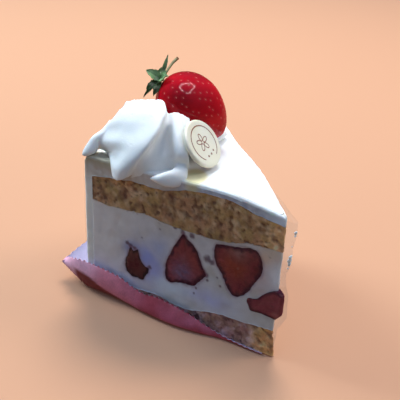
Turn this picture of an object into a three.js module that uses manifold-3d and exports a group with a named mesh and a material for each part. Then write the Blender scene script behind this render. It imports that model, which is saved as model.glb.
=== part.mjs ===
// A cut wedge of strawberry and cream layer cake, with its pinked paper liner and clear film.
// Millimetres, +Z up. The origin is under the middle of the slice, on the surface that it stands on;
// the narrow tip points to +X, the rim is at -X and the cut face that shows is on the -Y side.
import * as THREE from "three";
import { mergeVertices } from "three/addons/utils/BufferGeometryUtils.js";
import Module from "manifold-3d";

const wasm = await Module();
wasm.setup();

// The slice: an 18 cm round cake cut to 48 degrees
const CAKE_RADIUS = 92;
const HALF_ANGLE = THREE.MathUtils.degToRad(24);
const APEX_X = CAKE_RADIUS / 2;
const TIP_RADIUS = 0.9;
const RIM_COAT = 4;
const GAP = 0.3;
const PAPER_THICKNESS = 0.4;
const CAKE_FLOOR = PAPER_THICKNESS + GAP;

// Where one layer meets the next: [distance from the tip, height]
const BOTTOM_SPONGE_TOP = [
  [0, 12.6], [14, 11.8], [27, 11], [38, 8], [46, 7.7], [54, 9.5], [64, 8.8], [90, 10],
];
const UPPER_SPONGE_UNDERSIDE = [
  [0, 50], [8, 50], [18, 48.6], [27, 46.5], [52, 46.3], [61, 47.7], [75, 46.5], [90, 47],
];
const UPPER_SPONGE_TOP = [
  [0, 60.8], [14, 63.1], [23, 65.2], [33, 65.3], [41, 64.4], [54, 61.2], [70, 60.8], [90, 57.4],
];
const COAT_TOP = [[0, 64.8], [8, 66.2], [26, 68.5], [45, 68], [60, 67.4], [75, 67.2], [90, 66.8]];

// How the spread cream's top edge rounds off: [drop from the top, inset from the cut faces, and from the rim]
const COAT_EDGE = [[3.5, 0, 0.1], [1.2, 0.1, 0.7], [0.35, 0.5, 1.5], [0, 1.3, 3]];
const COAT_FOOT = { height: 1.2, inset: 0.8 };

// The strawberry on top, lying on the back of the piped cream
const TOP_BERRY = { length: 33.6, width: 26, stalkEnd: [-29.6, -3.2, 93.2], tipEnd: [-12.8, 17.4, 73.6] };

// The white chocolate disc that leans on the piped cream
const DISC = { radius: 11, thickness: 2.6, centre: [-2, -4.4, 77], facing: [0.737, 0.287, 0.612] };

// The strawberries inside: place on a cut face (-1 is the front one) as distance from the tip, height, and
// how far the axis lies inside the face; then the tip's direction in degrees from straight up, to the rim
const INNER_BERRIES = [
  { name: "berry_front_1", face: -1, along: 66, height: 22, depth: 5, turn: -28, length: 19, width: 15 },
  { name: "berry_front_2", face: -1, along: 42.4, height: 30.6, depth: 1.5, turn: 4, length: 25, width: 20 },
  { name: "berry_middle", face: -1, along: 19.6, height: 32.7, depth: 7, turn: 172, length: 26.6, width: 26 },
  { name: "berry_back_1", face: 1, along: 68, height: 27.5, depth: 2.5, turn: 12, length: 24, width: 19 },
  { name: "berry_back_2", face: 1, along: 44, height: 30, depth: 1.5, turn: -168, length: 25, width: 20 },
];
const TIP_BERRY = { name: "berry_tip", centre: [41, 0, 25], length: 24, width: 16, proud: 0.5 };
const INNER_BERRY_STEPS = { sides: 14, rings: 8 };

const UP = new THREE.Vector3(0, 0, 1);

// How many steps the layers have from the tip to the rim, and from one cut face to the other
const LAYER_STEPS = { along: 16, across: 6 };

// Small helpers

const vector = (list) => new THREE.Vector3(...list);

const span = (count, from = 0, to = 1) =>
  Array.from({ length: count + 1 }, (_, i) => from + ((to - from) * i) / count);

// A smooth function through [x, y] keys
function through(keys) {
  const slope = (i) => {
    const before = keys[Math.max(i - 1, 0)];
    const after = keys[Math.min(i + 1, keys.length - 1)];
    return (after[1] - before[1]) / (after[0] - before[0]);
  };
  return (x) => {
    const found = keys.findIndex((key) => key[0] > x);
    const i = found < 0 ? keys.length - 2 : Math.max(found - 1, 0);
    const [x0, y0] = keys[i];
    const [x1, y1] = keys[i + 1];
    const width = x1 - x0;
    const t = THREE.MathUtils.clamp((x - x0) / width, 0, 1);
    const blend = t * t * (3 - 2 * t);
    return (
      y0 + (y1 - y0) * blend +
      width * (slope(i) * t * (1 - t) ** 2 - slope(i + 1) * t * t * (1 - t))
    );
  };
}

function manifoldOf(points, corners) {
  const make = (triVerts) =>
    new wasm.Manifold(
      new wasm.Mesh({ numProp: 3, vertProperties: new Float32Array(points), triVerts }),
    );
  const solid = make(new Uint32Array(corners));
  if (solid.volume() > 0) return solid;
  return make(new Uint32Array(corners).reverse());
}

function solidOf(geometry) {
  const bare = new THREE.BufferGeometry();
  bare.setAttribute("position", geometry.getAttribute("position"));
  bare.setIndex(geometry.index);
  const merged = mergeVertices(bare, 1e-4);
  return manifoldOf(merged.attributes.position.array, merged.index.array);
}

function geometryOf(solid) {
  const mesh = solid.getMesh();
  const geometry = new THREE.BufferGeometry();
  geometry.setAttribute("position", new THREE.BufferAttribute(mesh.vertProperties, 3));
  geometry.setIndex(new THREE.BufferAttribute(mesh.triVerts, 1));
  geometry.computeVertexNormals();
  return geometry;
}

// A closed body from levels of one grid: the first and last are whole faces, split into triangles
// alike, and the levels between give only the border's rows
function slab(us, vs, levels) {
  const points = [];
  const corners = [];
  const point = (p) => points.push(p.x, p.y, p.z) / 3 - 1;
  const quad = (a, b, c, d) => corners.push(a, b, c, a, c, d);
  const face = (level) => us.map((u) => vs.map((v) => point(level(u, v))));
  const low = face(levels[0]);
  const high = face(levels.at(-1));
  for (let i = 0; i + 1 < us.length; i += 1) {
    for (let j = 0; j + 1 < vs.length; j += 1) {
      quad(high[i][j], high[i + 1][j], high[i + 1][j + 1], high[i][j + 1]);
      quad(low[i][j], low[i][j + 1], low[i + 1][j + 1], low[i + 1][j]);
    }
  }
  const lastU = us.length - 1;
  const lastV = vs.length - 1;
  const border = [
    ...span(lastU, 0, lastU).map((i) => [i, 0]),
    ...span(lastV, 0, lastV).slice(1).map((j) => [lastU, j]),
    ...span(lastU, lastU, 0).slice(1).map((i) => [i, lastV]),
    ...span(lastV, lastV, 0).slice(1, -1).map((j) => [0, j]),
  ];
  const loops = [
    border.map(([i, j]) => low[i][j]),
    ...levels.slice(1, -1).map((level) => border.map(([i, j]) => point(level(us[i], vs[j])))),
    border.map(([i, j]) => high[i][j]),
  ];
  for (let k = 0; k + 1 < loops.length; k += 1) {
    border.forEach((_, n) => {
      const next = (n + 1) % border.length;
      quad(loops[k][n], loops[k][next], loops[k + 1][next], loops[k + 1][n]);
    });
  }
  return manifoldOf(points, corners);
}

// How far a swept body's ends stand out, as a share of their thickness
const END_BULGE = 0.5;

// A closed body round a curve, whose broad side looks to facing; size gives the share of its section's
// two half axes that it has at t
function sweep(curve, facing, halfAxes, size, steps, sides) {
  const points = [];
  const corners = [];
  const put = (p) => points.push(p.x, p.y, p.z) / 3 - 1;
  const rings = span(steps).map((t) => {
    const centre = curve.getPoint(t);
    const side = new THREE.Vector3().crossVectors(curve.getTangent(t), facing).normalize();
    const over = new THREE.Vector3().crossVectors(side, curve.getTangent(t));
    return span(sides).slice(1).map((share) => {
      const angle = share * 2 * Math.PI;
      return put(centre.clone()
        .addScaledVector(side, halfAxes[0] * size(t) * Math.cos(angle))
        .addScaledVector(over, halfAxes[1] * size(t) * Math.sin(angle)));
    });
  });
  const cap = (ring, t) => {
    const bulge = (2 * t - 1) * END_BULGE * halfAxes[1] * size(t);
    const middle = put(curve.getPoint(t).addScaledVector(curve.getTangent(t), bulge));
    ring.forEach((a, n) => corners.push(middle, a, ring[(n + 1) % sides]));
  };
  for (let k = 0; k < steps; k += 1) {
    rings[k].forEach((a, n) => {
      const next = (n + 1) % sides;
      const [b, c, d] = [rings[k][next], rings[k + 1][next], rings[k + 1][n]];
      corners.push(a, c, b, a, d, c);
    });
  }
  cap(rings[0], 0);
  cap([...rings[steps]].reverse(), 1);
  return manifoldOf(points, corners);
}

// A fold of cream
function foldBody({ from, over, to, width, thick, facing, belly, ends }, steps, sides) {
  const [start, middle, end] = [from, over, to].map(vector);
  const bend = middle.multiplyScalar(2).sub(start.clone().add(end).multiplyScalar(0.5));
  const swell = (t) =>
    t < belly
      ? THREE.MathUtils.lerp(ends[0], 1, Math.sin((Math.PI / 2) * (t / belly)))
      : THREE.MathUtils.lerp(ends[1], 1, Math.cos((Math.PI / 2) * ((t - belly) / (1 - belly))));
  const curve = new THREE.QuadraticBezierCurve3(start, bend, end);
  return sweep(curve, vector(facing), [width / 2, thick / 2], swell, steps, sides);
}

const joined = (solids) => solids.reduce((whole, next) => whole.add(next));

// The wedge in plan: u runs from the tip to the rim, v from the front cut face to the back one
function wedgePoint(u, v, faceInset, rimInset) {
  const centreX = APEX_X - (faceInset + TIP_RADIUS) / Math.sin(HALF_ANGLE);
  const tipAngle = v * (Math.PI / 2 - HALF_ANGLE);
  const radius = CAKE_RADIUS - rimInset;
  const rimAngle = v * (HALF_ANGLE - Math.asin(faceInset / radius));
  return new THREE.Vector2(centreX + TIP_RADIUS * Math.cos(tipAngle), TIP_RADIUS * Math.sin(tipAngle)).lerp(
    new THREE.Vector2(APEX_X - radius * Math.cos(rimAngle), radius * Math.sin(rimAngle)),
    u,
  );
}

// Heights vary a little towards the back face, as hand-spread layers do
const UNEVENNESS = { perMillimetre: 0.13, perHalf: 2.4 };

function layerHeight(keys, depth) {
  const height = through(keys);
  return (x, y) => {
    const reach = Math.hypot(APEX_X - x, y);
    const across = Math.atan2(y, APEX_X - x) / HALF_ANGLE;
    const back = (1 + across) / 2;
    const wave = Math.sin(UNEVENNESS.perMillimetre * reach + UNEVENNESS.perHalf * across);
    return height(reach) + depth * back * wave;
  };
}

function wedgeLevel(height, faceInset, rimInset) {
  return (u, v) => {
    const p = wedgePoint(u, v, faceInset, rimInset);
    return new THREE.Vector3(p.x, p.y, height(p.x, p.y));
  };
}

const bottomSpongeTop = layerHeight(BOTTOM_SPONGE_TOP, 0.9);
const upperSpongeUnderside = layerHeight(UPPER_SPONGE_UNDERSIDE, 0.8);
const upperSpongeTop = layerHeight(UPPER_SPONGE_TOP, 0.7);
const coatTop = layerHeight(COAT_TOP, 0.4);
const raised = (height, by) => (x, y) => height(x, y) + by;
const level = (z) => () => z;

function wedgeLayer(under, over) {
  return slab(span(LAYER_STEPS.along), span(LAYER_STEPS.across, -1, 1), [
    wedgeLevel(under, 0, RIM_COAT + GAP),
    wedgeLevel(over, 0, RIM_COAT + GAP),
  ]);
}

// The layers of the slice

const spongeBottom = () => wedgeLayer(level(CAKE_FLOOR), raised(bottomSpongeTop, -GAP / 2));

const spongeTop = () =>
  wedgeLayer(raised(upperSpongeUnderside, GAP / 2), raised(upperSpongeTop, -GAP / 2));

const filling = () =>
  wedgeLayer(raised(bottomSpongeTop, GAP / 2), raised(upperSpongeUnderside, -GAP / 2));

// The spread cream, over the top and down the rim; grow adds room round it for what rests on it
function coatOutside(grow) {
  return slab(span(LAYER_STEPS.along), span(LAYER_STEPS.across + 2, -1, 1), [
    wedgeLevel(level(CAKE_FLOOR - grow), -grow, COAT_FOOT.inset - grow),
    wedgeLevel(level(CAKE_FLOOR + COAT_FOOT.height), -grow, -grow),
    ...COAT_EDGE.map(([drop, faceInset, rimInset]) =>
      wedgeLevel(raised(coatTop, grow - drop), faceInset - grow, rimInset - grow),
    ),
  ]);
}

function creamCoat() {
  const beyondFaces = -2;
  const core = slab(span(LAYER_STEPS.along), span(LAYER_STEPS.across, -1, 1), [
    wedgeLevel(level(-1), beyondFaces, RIM_COAT),
    wedgeLevel(raised(upperSpongeTop, GAP), beyondFaces, RIM_COAT),
  ]);
  return coatOutside(0).subtract(core);
}

// Strawberries

// Where a strawberry is widest, as a share of its length, and how squarely it rounds off to its two ends
const SHOULDER = { at: 0.36, squareness: 2.5 };
const TAPER = { start: 1.7, end: 0.62 };

// Radius of a strawberry as a share of its half width, t running from the stalk end to the tip
function berryOutline(t) {
  const { at, squareness } = SHOULDER;
  if (t < at) return (1 - (1 - t / at) ** squareness) ** (1 / squareness);
  return (1 - ((t - at) / (1 - at)) ** TAPER.start) ** TAPER.end;
}

// A strawberry standing on its stalk end at the origin, tip at the top
function berryBody(length, width, sides, rings) {
  const profile = span(rings, 0, Math.PI).map((angle, n) => {
    const t = (1 - Math.cos(angle)) / 2;
    const atAxis = n === 0 || n === rings;
    return new THREE.Vector2(atAxis ? 0 : (width / 2) * berryOutline(t), length * t);
  });
  return new THREE.LatheGeometry(profile, sides).rotateX(Math.PI / 2);
}

const outwardFrom = (face) => new THREE.Vector3(Math.sin(HALF_ANGLE), face * Math.cos(HALF_ANGLE), 0);
const rimwardAlong = (face) => new THREE.Vector3(-Math.cos(HALF_ANGLE), face * Math.sin(HALF_ANGLE), 0);

// A strawberry centred on the origin, tip up; grow adds room round it
function innerBody(length, width, grow) {
  const { sides, rings } = INNER_BERRY_STEPS;
  return berryBody(length + 2 * grow, width + 2 * grow, sides, rings).translate(0, 0, -length / 2 - grow);
}

// A whole strawberry in its place inside the slice
function innerBerry({ face, along, height, depth, turn, length, width }, grow) {
  const angle = THREE.MathUtils.degToRad(turn);
  const axis = UP.clone()
    .multiplyScalar(Math.cos(angle))
    .addScaledVector(rimwardAlong(face), Math.sin(angle));
  const centre = new THREE.Vector3(APEX_X, 0, height)
    .addScaledVector(rimwardAlong(face), along)
    .addScaledVector(outwardFrom(face), -depth);
  const body = innerBody(length, width, grow);
  body.applyQuaternion(new THREE.Quaternion().setFromUnitVectors(UP, axis));
  return solidOf(body.translate(...centre));
}

// The strawberry cut at the slice's tip, which points to the rim
function tipBerry(grow) {
  const { length, width, centre } = TIP_BERRY;
  const body = innerBody(length, width, grow);
  return solidOf(body.rotateY(-Math.PI / 2).translate(...centre));
}

// The knife's wedge, from which each cut strawberry takes its flat face
function knifeWedge(proud) {
  const aboveBerries = 60;
  return slab([0, 1], span(LAYER_STEPS.across, -1, 1), [
    wedgeLevel(level(0), -proud, RIM_COAT),
    wedgeLevel(level(aboveBerries), -proud, RIM_COAT),
  ]);
}

// The top strawberry: a lumpy body with its seeds on a spiral

const LUMPS = { oval: 0.035, threefold: 0.02, twist: 1 / 7 };
const TOP_BERRY_STEPS = { sides: 20, rings: 11 };

const lump = (angle, height) =>
  1 + LUMPS.oval * Math.sin(2 * angle + 0.6) + LUMPS.threefold * Math.sin(3 * angle + LUMPS.twist * height);

function topBerry(grow, withSeeds) {
  const { length, width, stalkEnd, tipEnd } = TOP_BERRY;
  const { sides, rings } = TOP_BERRY_STEPS;
  const body = berryBody(length + 2 * grow, width + 2 * grow, sides, rings);
  body.translate(0, 0, -grow);
  const positions = body.attributes.position;
  for (let i = 0; i < positions.count; i += 1) {
    const [x, y] = [positions.getX(i), positions.getY(i)];
    const swell = lump(Math.atan2(y, x), positions.getZ(i));
    positions.setXY(i, x * swell, y * swell);
  }
  const solid = withSeeds ? joined([solidOf(body), ...berrySeeds(length, width)]) : solidOf(body);
  const axis = vector(tipEnd).sub(vector(stalkEnd)).normalize();
  const turn = new THREE.Quaternion().setFromUnitVectors(UP, axis);
  return solidOf(geometryOf(solid).applyQuaternion(turn).translate(...stalkEnd));
}

const SEED = { count: 60, first: 0.1, last: 0.93, length: 1.5, width: 1, height: 0.8 };
const GOLDEN_TURN = Math.PI * (3 - Math.sqrt(5));

function berrySeeds(length, width) {
  return span(SEED.count - 1, SEED.first, SEED.last).map((t, n) => {
    const angle = n * GOLDEN_TURN;
    const radius = (width / 2) * berryOutline(t) * lump(angle, length * t);
    const seed = new THREE.OctahedronGeometry(0.5).scale(SEED.height, SEED.width, SEED.length);
    seed.rotateZ(angle);
    return solidOf(seed.translate(radius * Math.cos(angle), radius * Math.sin(angle), length * t));
  });
}

// The strawberry's leafy cap and stalk, from its stalk end: where each leaf ends, its width and its arch

const CALYX = { lift: 1.2, radius: 2.6, thickness: 1.6 };
const SEPALS = [
  { end: [-5.9, -3.8, 4.2], width: 4.6, arch: 0.6 },
  { end: [3.1, 1.6, 4.6], width: 4.2, arch: 0.8 },
  { end: [-4.1, -5.2, -2.6], width: 4.4, arch: 0.9 },
  { end: [1.1, -5.8, -3.2], width: 3.8, arch: 0.9 },
  { end: [-6.7, 3.4, 1], width: 4.4, arch: 1 },
  { end: [-2.9, 5, 5.6], width: 4, arch: 0.7 },
  { end: [-4.7, 7, 9.8], width: 2.6, arch: -0.8 },
];
const STALK = {
  path: [[-0.7, -0.6, 1], [-0.7, 2.2, 4.2], [-0.3, 5.4, 6.8], [-0.9, 8.8, 9.8]],
  radius: 0.9,
  waist: 0.3,
};
const SEPAL = { thickness: 0.45, cup: 0.4, ripple: 0.2, foot: 0.14, point: 0.97, fullness: 0.8 };

function calyxFrame() {
  const axis = vector(TOP_BERRY.stalkEnd).sub(vector(TOP_BERRY.tipEnd)).normalize();
  return { axis, centre: vector(TOP_BERRY.stalkEnd).addScaledVector(axis, CALYX.lift) };
}

function sepal({ end, width, arch }) {
  const { axis, centre } = calyxFrame();
  const along = vector(end).add(vector(TOP_BERRY.stalkEnd)).sub(centre);
  const across = new THREE.Vector3().crossVectors(axis, along).normalize();
  const over = new THREE.Vector3().crossVectors(along, across).normalize();
  const face = (offset) => (u, v) => {
    const share = THREE.MathUtils.lerp(SEPAL.foot, SEPAL.point, u);
    const half = (width / 2) * Math.sin(Math.PI * share) ** SEPAL.fullness;
    const wave = SEPAL.cup * v * v + SEPAL.ripple * Math.sin(9 * u + 2 * v);
    return centre.clone()
      .addScaledVector(along, u)
      .addScaledVector(across, half * v)
      .addScaledVector(over, arch * Math.sin(Math.PI * u) + wave + offset);
  };
  return slab(span(5), span(2, -1, 1), [face(-SEPAL.thickness / 2), face(SEPAL.thickness / 2)]);
}

function calyx() {
  const { axis, centre } = calyxFrame();
  const disc = new THREE.SphereGeometry(1, 8, 4).scale(CALYX.radius, CALYX.radius, CALYX.thickness / 2);
  disc.applyQuaternion(new THREE.Quaternion().setFromUnitVectors(UP, axis)).translate(...centre);
  const curve = new THREE.CatmullRomCurve3(STALK.path.map((p) => vector(p).add(vector(TOP_BERRY.stalkEnd))));
  const waist = (t) => 1 - STALK.waist * Math.sin(Math.PI * t);
  const stalk = sweep(curve, axis, [STALK.radius, STALK.radius], waist, 6, 6);
  return joined([solidOf(disc), stalk, ...SEPALS.map(sepal)]);
}

// The piped cream: overlapping folds, each a soft body that swells to its belly and thins to its ends.
// A fold runs from one point over a second to a third; facing is the way that its broad side looks, and
// ends are the shares of its width and thickness that its two ends keep

const PIPED_FOLDS = [
  // the heart of the swirl
  { from: [-30, -1, 76], over: [-25, -10, 76], to: [-16, -19, 69], width: 22, thick: 17,
    facing: [0, 0, 1], belly: 0.5, ends: [0.8, 0.6] },
  // the crown
  { from: [-34.5, -21, 82], over: [-29, -14, 85], to: [-21, -9, 86.5], width: 10.5, thick: 9.5,
    facing: [0, 0, 1], belly: 0.5, ends: [0.5, 0.9] },
  // the broad fold that falls to a finger over the front edge
  { from: [-27.5, -14, 85], over: [-24, -23.5, 77.5], to: [-18.5, -33, 64.5], width: 21, thick: 11.5,
    facing: [0.4, -0.6, 0.65], belly: 0.22, ends: [0.66, 0.14] },
  // the tail at the rim corner
  { from: [-35.5, -20, 79], over: [-37, -30.5, 73], to: [-38.5, -36.5, 67], width: 9.5, thick: 7.5,
    facing: [0, 0, 1], belly: 0.15, ends: [1, 0.2] },
  // the web between them
  { from: [-35, -20, 80.5], over: [-32, -27.5, 74], to: [-28.5, -31.5, 68], width: 11.5, thick: 7.5,
    facing: [0.67, -0.56, 0.48], belly: 0.35, ends: [0.9, 0.5] },
  // the steep flank
  { from: [-19.5, -9, 84], over: [-15.5, -18.5, 74], to: [-12.5, -25.5, 66.5], width: 18, thick: 9,
    facing: [0.67, -0.56, 0.48], belly: 0.5, ends: [0.7, 0.7] },
  // the upright roll behind the disc
  { from: [-12.5, -8, 85], over: [-6.5, -10.5, 77.5], to: [-3, -14.5, 68.5], width: 11, thick: 8,
    facing: [0.67, -0.56, 0.48], belly: 0.4, ends: [0.8, 0.75] },
  // the curl at its foot, along the front edge
  { from: [-5.5, -25.5, 66], over: [0.5, -20.5, 68], to: [-0.5, -11.5, 70], width: 8, thick: 8,
    facing: [0, 0, 1], belly: 0.75, ends: [0.2, 0.9] },
  // the folds on the rim side
  { from: [-28, -8, 80], over: [-36, -12, 76.5], to: [-43, -18, 68.5], width: 13, thick: 10,
    facing: [-0.4, 0, 0.9], belly: 0.35, ends: [0.9, 0.35] },
  { from: [-28, -1, 78], over: [-36, 1, 75], to: [-43.5, 3, 68.5], width: 13, thick: 10,
    facing: [-0.4, 0, 0.9], belly: 0.35, ends: [0.9, 0.3] },
  // the folds that carry the strawberry
  { from: [-25, 3, 74], over: [-31, 11, 73], to: [-37, 20, 68.5], width: 13, thick: 10,
    facing: [-0.2, 0.2, 0.9], belly: 0.35, ends: [0.9, 0.3] },
  { from: [-20, 3, 72], over: [-20, 15, 71], to: [-21.5, 25, 68.5], width: 12, thick: 8,
    facing: [0, 0.2, 0.9], belly: 0.35, ends: [0.9, 0.3] },
  { from: [-18, -5, 75], over: [-12, -1, 72.5], to: [-7, 6, 69], width: 11, thick: 8,
    facing: [0, 0, 1], belly: 0.35, ends: [0.9, 0.4] },
];

const pipedCream = () => joined(PIPED_FOLDS.map((fold) => foldBody(fold, 8, 9)));

// The disc: a round of chocolate with rolled edges

function discBody(grow) {
  const radius = DISC.radius + grow;
  const half = DISC.thickness / 2 + grow;
  const edge = span(5, -Math.PI / 2, Math.PI / 2).map((angle) =>
    new THREE.Vector2(radius - half * (1 - Math.cos(angle)), half * Math.sin(angle)),
  );
  const profile = [new THREE.Vector2(0, -half), ...edge, new THREE.Vector2(0, half)];
  const body = new THREE.LatheGeometry(profile, 36).rotateX(Math.PI / 2);
  const turn = new THREE.Quaternion().setFromUnitVectors(UP, vector(DISC.facing).normalize());
  return solidOf(body.applyQuaternion(turn).translate(...DISC.centre));
}

// The clear film: one thin strip round both cut faces, loose round the tip above the filling's middle

const FILM = { thickness: 0.35, clearance: 0.9, foot: 2, rimEnd: 0.965, faceShare: 0.42, tipReach: 9 };
const FILM_RIPPLE = { depth: 0.35, perMillimetre: 0.5, shift: 3 };
const FILM_TOP = through([[0, 65.2], [12, 66.4], [28, 65], [50, 62.4], [62, 58], [90, 57.4]]);
const FILM_LOOSE = through([[0, 0], [36, 0.2], [44, 2.4], [54, 3.6], [66, 4.6]]);

// share runs along the strip from its front end to its back one, and rise from its foot to its top
function filmPoint(share, rise, offset) {
  const { faceShare } = FILM;
  const side = share < 0.5 ? -1 : 1;
  const fromEnd = Math.min(share, 1 - share);
  const onFace = fromEnd < faceShare;
  const u = onFace ? FILM.rimEnd * (1 - fromEnd / faceShare) : 0;
  const v = onFace ? side : side * (1 - (fromEnd - faceShare) / (0.5 - faceShare));
  const z = THREE.MathUtils.lerp(FILM.foot, FILM_TOP(u * CAKE_RADIUS), rise);
  const plan = wedgePoint(u, v, -FILM.clearance - offset, 0);
  const nearTip = Math.exp(-(u * CAKE_RADIUS) / FILM.tipReach);
  const ripple = FILM_RIPPLE.depth * Math.sin(FILM_RIPPLE.perMillimetre * z + FILM_RIPPLE.shift * side);
  return new THREE.Vector3(plan.x + (FILM_LOOSE(z) + ripple * nearTip) * nearTip, plan.y, z);
}

function filmWrap() {
  const { faceShare } = FILM;
  const shares = [
    ...span(8, 0, faceShare),
    ...span(6, faceShare, 1 - faceShare).slice(1),
    ...span(8, 1 - faceShare, 1).slice(1),
  ];
  return slab(shares, span(8), [
    (share, rise) => filmPoint(share, rise, 0),
    (share, rise) => filmPoint(share, rise, FILM.thickness),
  ]);
}

// The paper liner: flat under the slice, its pinked margins curling up round it

const TOOTH = { depth: 0.55, pitch: 5.1 };
const PAPER_START = 4;
const PAPER_REACH = 106;
const FLAP_TOP = through([
  [0, 0.6], [20, 1.8], [30, 4], [40, 6.6], [54, 8.3], [60, 7.4], [66, 8.8], [73, 12.4], [92, 14], [98, 12],
  [106, 7],
]);
const FLAP_BULGE = through([[0, 0.6], [22, 2], [33, 7], [45, 10], [58, 8.5], [70, 6.5], [90, 6], [106, 0]]);
const FLAP_LIFT = through([[0, 0], [68, 0], [82, 2.5], [92, 4], [106, 6]]);
const FLAP_LEAN = through([[0, 2], [70, 2.2], [90, 2.8], [98, 1.8], [106, -3.6]]);
const RIM_MARGIN = { cornerLift: 5, middleLift: 13, pullIn: 3.4, bend: 1.7 };

const toothAt = (distance) => TOOTH.depth * (Math.round((2 * distance) / TOOTH.pitch) % 2 ? 1 : -1);
const beyondRim = (reach) => Math.max(reach - CAKE_RADIUS, 0) / (PAPER_REACH - CAKE_RADIUS);

// A margin along a cut face: share runs from 0 at the fold to 1 at the pinked edge
function flapPoint(reach, share, side, offset) {
  const curve = new THREE.QuadraticBezierCurve3(
    new THREE.Vector3(0, 0, RIM_MARGIN.cornerLift * beyondRim(reach) ** RIM_MARGIN.bend),
    new THREE.Vector3(FLAP_BULGE(reach), 0, FLAP_LIFT(reach)),
    new THREE.Vector3(FLAP_LEAN(reach), 0, FLAP_TOP(reach) + toothAt(reach)),
  );
  const at = curve.getPoint(share);
  const slope = curve.getTangent(share);
  return new THREE.Vector3(APEX_X, 0, at.z + slope.x * offset)
    .addScaledVector(rimwardAlong(side), reach)
    .addScaledVector(outwardFrom(side), at.x - slope.z * offset);
}

// Columns past 1 are the margins along the cut faces; rows past the rim are the margin behind the slice
function paperPoint(reach, column, offset) {
  if (Math.abs(column) > 1) return flapPoint(reach, Math.abs(column) - 1, Math.sign(column), offset);
  const angle = column * HALF_ANGLE;
  const beyond = beyondRim(reach);
  const middle = 1 - column ** 4;
  const lift = THREE.MathUtils.lerp(RIM_MARGIN.cornerLift, RIM_MARGIN.middleLift, middle);
  const distance = reach - RIM_MARGIN.pullIn * beyond * middle - offset * beyond;
  return new THREE.Vector3(
    APEX_X - distance * Math.cos(angle),
    distance * Math.sin(angle),
    lift * beyond ** RIM_MARGIN.bend + offset,
  );
}

function paperLiner() {
  const rows = span(40, PAPER_START, PAPER_REACH);
  const columns = [-2, -1.7, -1.35, ...span(4, -1, 1), 1.35, 1.7, 2];
  return slab(rows, columns, [
    (row, column) => paperPoint(row, column, 0),
    (row, column) => paperPoint(row, column, PAPER_THICKNESS),
  ]);
}

// The finished slice

const COLOURS = {
  cream: 0xf6f1e4,
  filling: 0xefe8de,
  sponge: 0xcfa96a,
  cutBerry: 0x9c2f26,
  wholeBerry: 0xc40f16,
  leaf: 0x4f8a3c,
  chocolate: 0xf0e6c0,
  film: 0xe8eef2,
  paper: 0xd98f9e,
};

function piece(name, solid, colour, roughness) {
  const material = new THREE.MeshStandardMaterial({ color: colour, roughness, metalness: 0 });
  const mesh = new THREE.Mesh(geometryOf(solid), material);
  mesh.name = name;
  return mesh;
}

function insides() {
  const knife = knifeWedge(0);
  const middle = INNER_BERRIES.find((berry) => berry.name === "berry_middle");
  const berries = INNER_BERRIES.map((berry) => ({
    name: berry.name,
    solid: innerBerry(berry, 0).intersect(knife),
    pocket: innerBerry(berry, GAP),
  }));
  berries.push({
    name: TIP_BERRY.name,
    solid: tipBerry(0).intersect(knifeWedge(TIP_BERRY.proud)).subtract(innerBerry(middle, 3 * GAP)),
    pocket: tipBerry(GAP),
  });
  const cream = berries.reduce((left, berry) => left.subtract(berry.pocket), filling());
  return [
    piece("cream_filling", cream, COLOURS.filling, 0.6),
    ...berries.map((berry) => piece(berry.name, berry.solid, COLOURS.cutBerry, 0.35)),
  ];
}

function topping() {
  const swirl = pipedCream()
    .subtract(coatOutside(GAP))
    .subtract(topBerry(GAP + SEED.height / 2, false))
    .subtract(discBody(GAP));
  return [
    piece("cream_swirl", swirl, COLOURS.cream, 0.5),
    piece("strawberry_top", topBerry(0, true), COLOURS.wholeBerry, 0.25),
    piece("strawberry_calyx", calyx(), COLOURS.leaf, 0.55),
    piece("white_chocolate_disc", discBody(0), COLOURS.chocolate, 0.4),
  ];
}

function cakeSlice() {
  const slice = new THREE.Group();
  slice.add(
    piece("paper_liner", paperLiner(), COLOURS.paper, 0.7),
    piece("film_wrap", filmWrap(), COLOURS.film, 0.1),
    piece("sponge_bottom", spongeBottom(), COLOURS.sponge, 0.9),
    piece("sponge_top", spongeTop(), COLOURS.sponge, 0.9),
    piece("cream_coat", creamCoat(), COLOURS.cream, 0.5),
    ...insides(),
    ...topping(),
  );
  return slice;
}

export default cakeSlice();
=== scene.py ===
"""A cut wedge of strawberry and cream layer cake, with its paper liner and clear film.

Lengths are in millimetres and turn into metres when a mesh is made. The frame is the part's own: the
narrow tip points to +X, the rim is at -X, and the cut face that shows is on the -Y side.
"""
import math
from itertools import product

import bpy
import numpy as np
from mathutils import Matrix, Vector


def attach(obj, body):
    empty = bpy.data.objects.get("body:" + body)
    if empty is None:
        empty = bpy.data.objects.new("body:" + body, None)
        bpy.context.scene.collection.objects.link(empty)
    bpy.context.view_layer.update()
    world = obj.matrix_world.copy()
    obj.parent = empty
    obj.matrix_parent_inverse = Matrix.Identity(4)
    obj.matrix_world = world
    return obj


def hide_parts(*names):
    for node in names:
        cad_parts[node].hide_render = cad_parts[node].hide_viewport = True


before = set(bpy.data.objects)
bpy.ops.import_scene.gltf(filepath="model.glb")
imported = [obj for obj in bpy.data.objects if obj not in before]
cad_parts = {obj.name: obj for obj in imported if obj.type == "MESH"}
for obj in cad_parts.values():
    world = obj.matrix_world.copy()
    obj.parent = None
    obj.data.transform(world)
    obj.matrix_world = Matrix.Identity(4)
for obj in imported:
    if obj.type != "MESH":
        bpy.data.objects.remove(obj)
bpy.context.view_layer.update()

MM = 0.001

# The slice's own measures
CAKE_RADIUS = 92.0
HALF_ANGLE = math.radians(24)
APEX_X = 46.0
TIP_RADIUS = 0.9
RIM_COAT = 4.0
PAPER = 0.4
CAKE_FLOOR = 0.7
# Where the tip's round edge has its middle
ROUND_X = APEX_X - TIP_RADIUS / math.sin(HALF_ANGLE)

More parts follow.
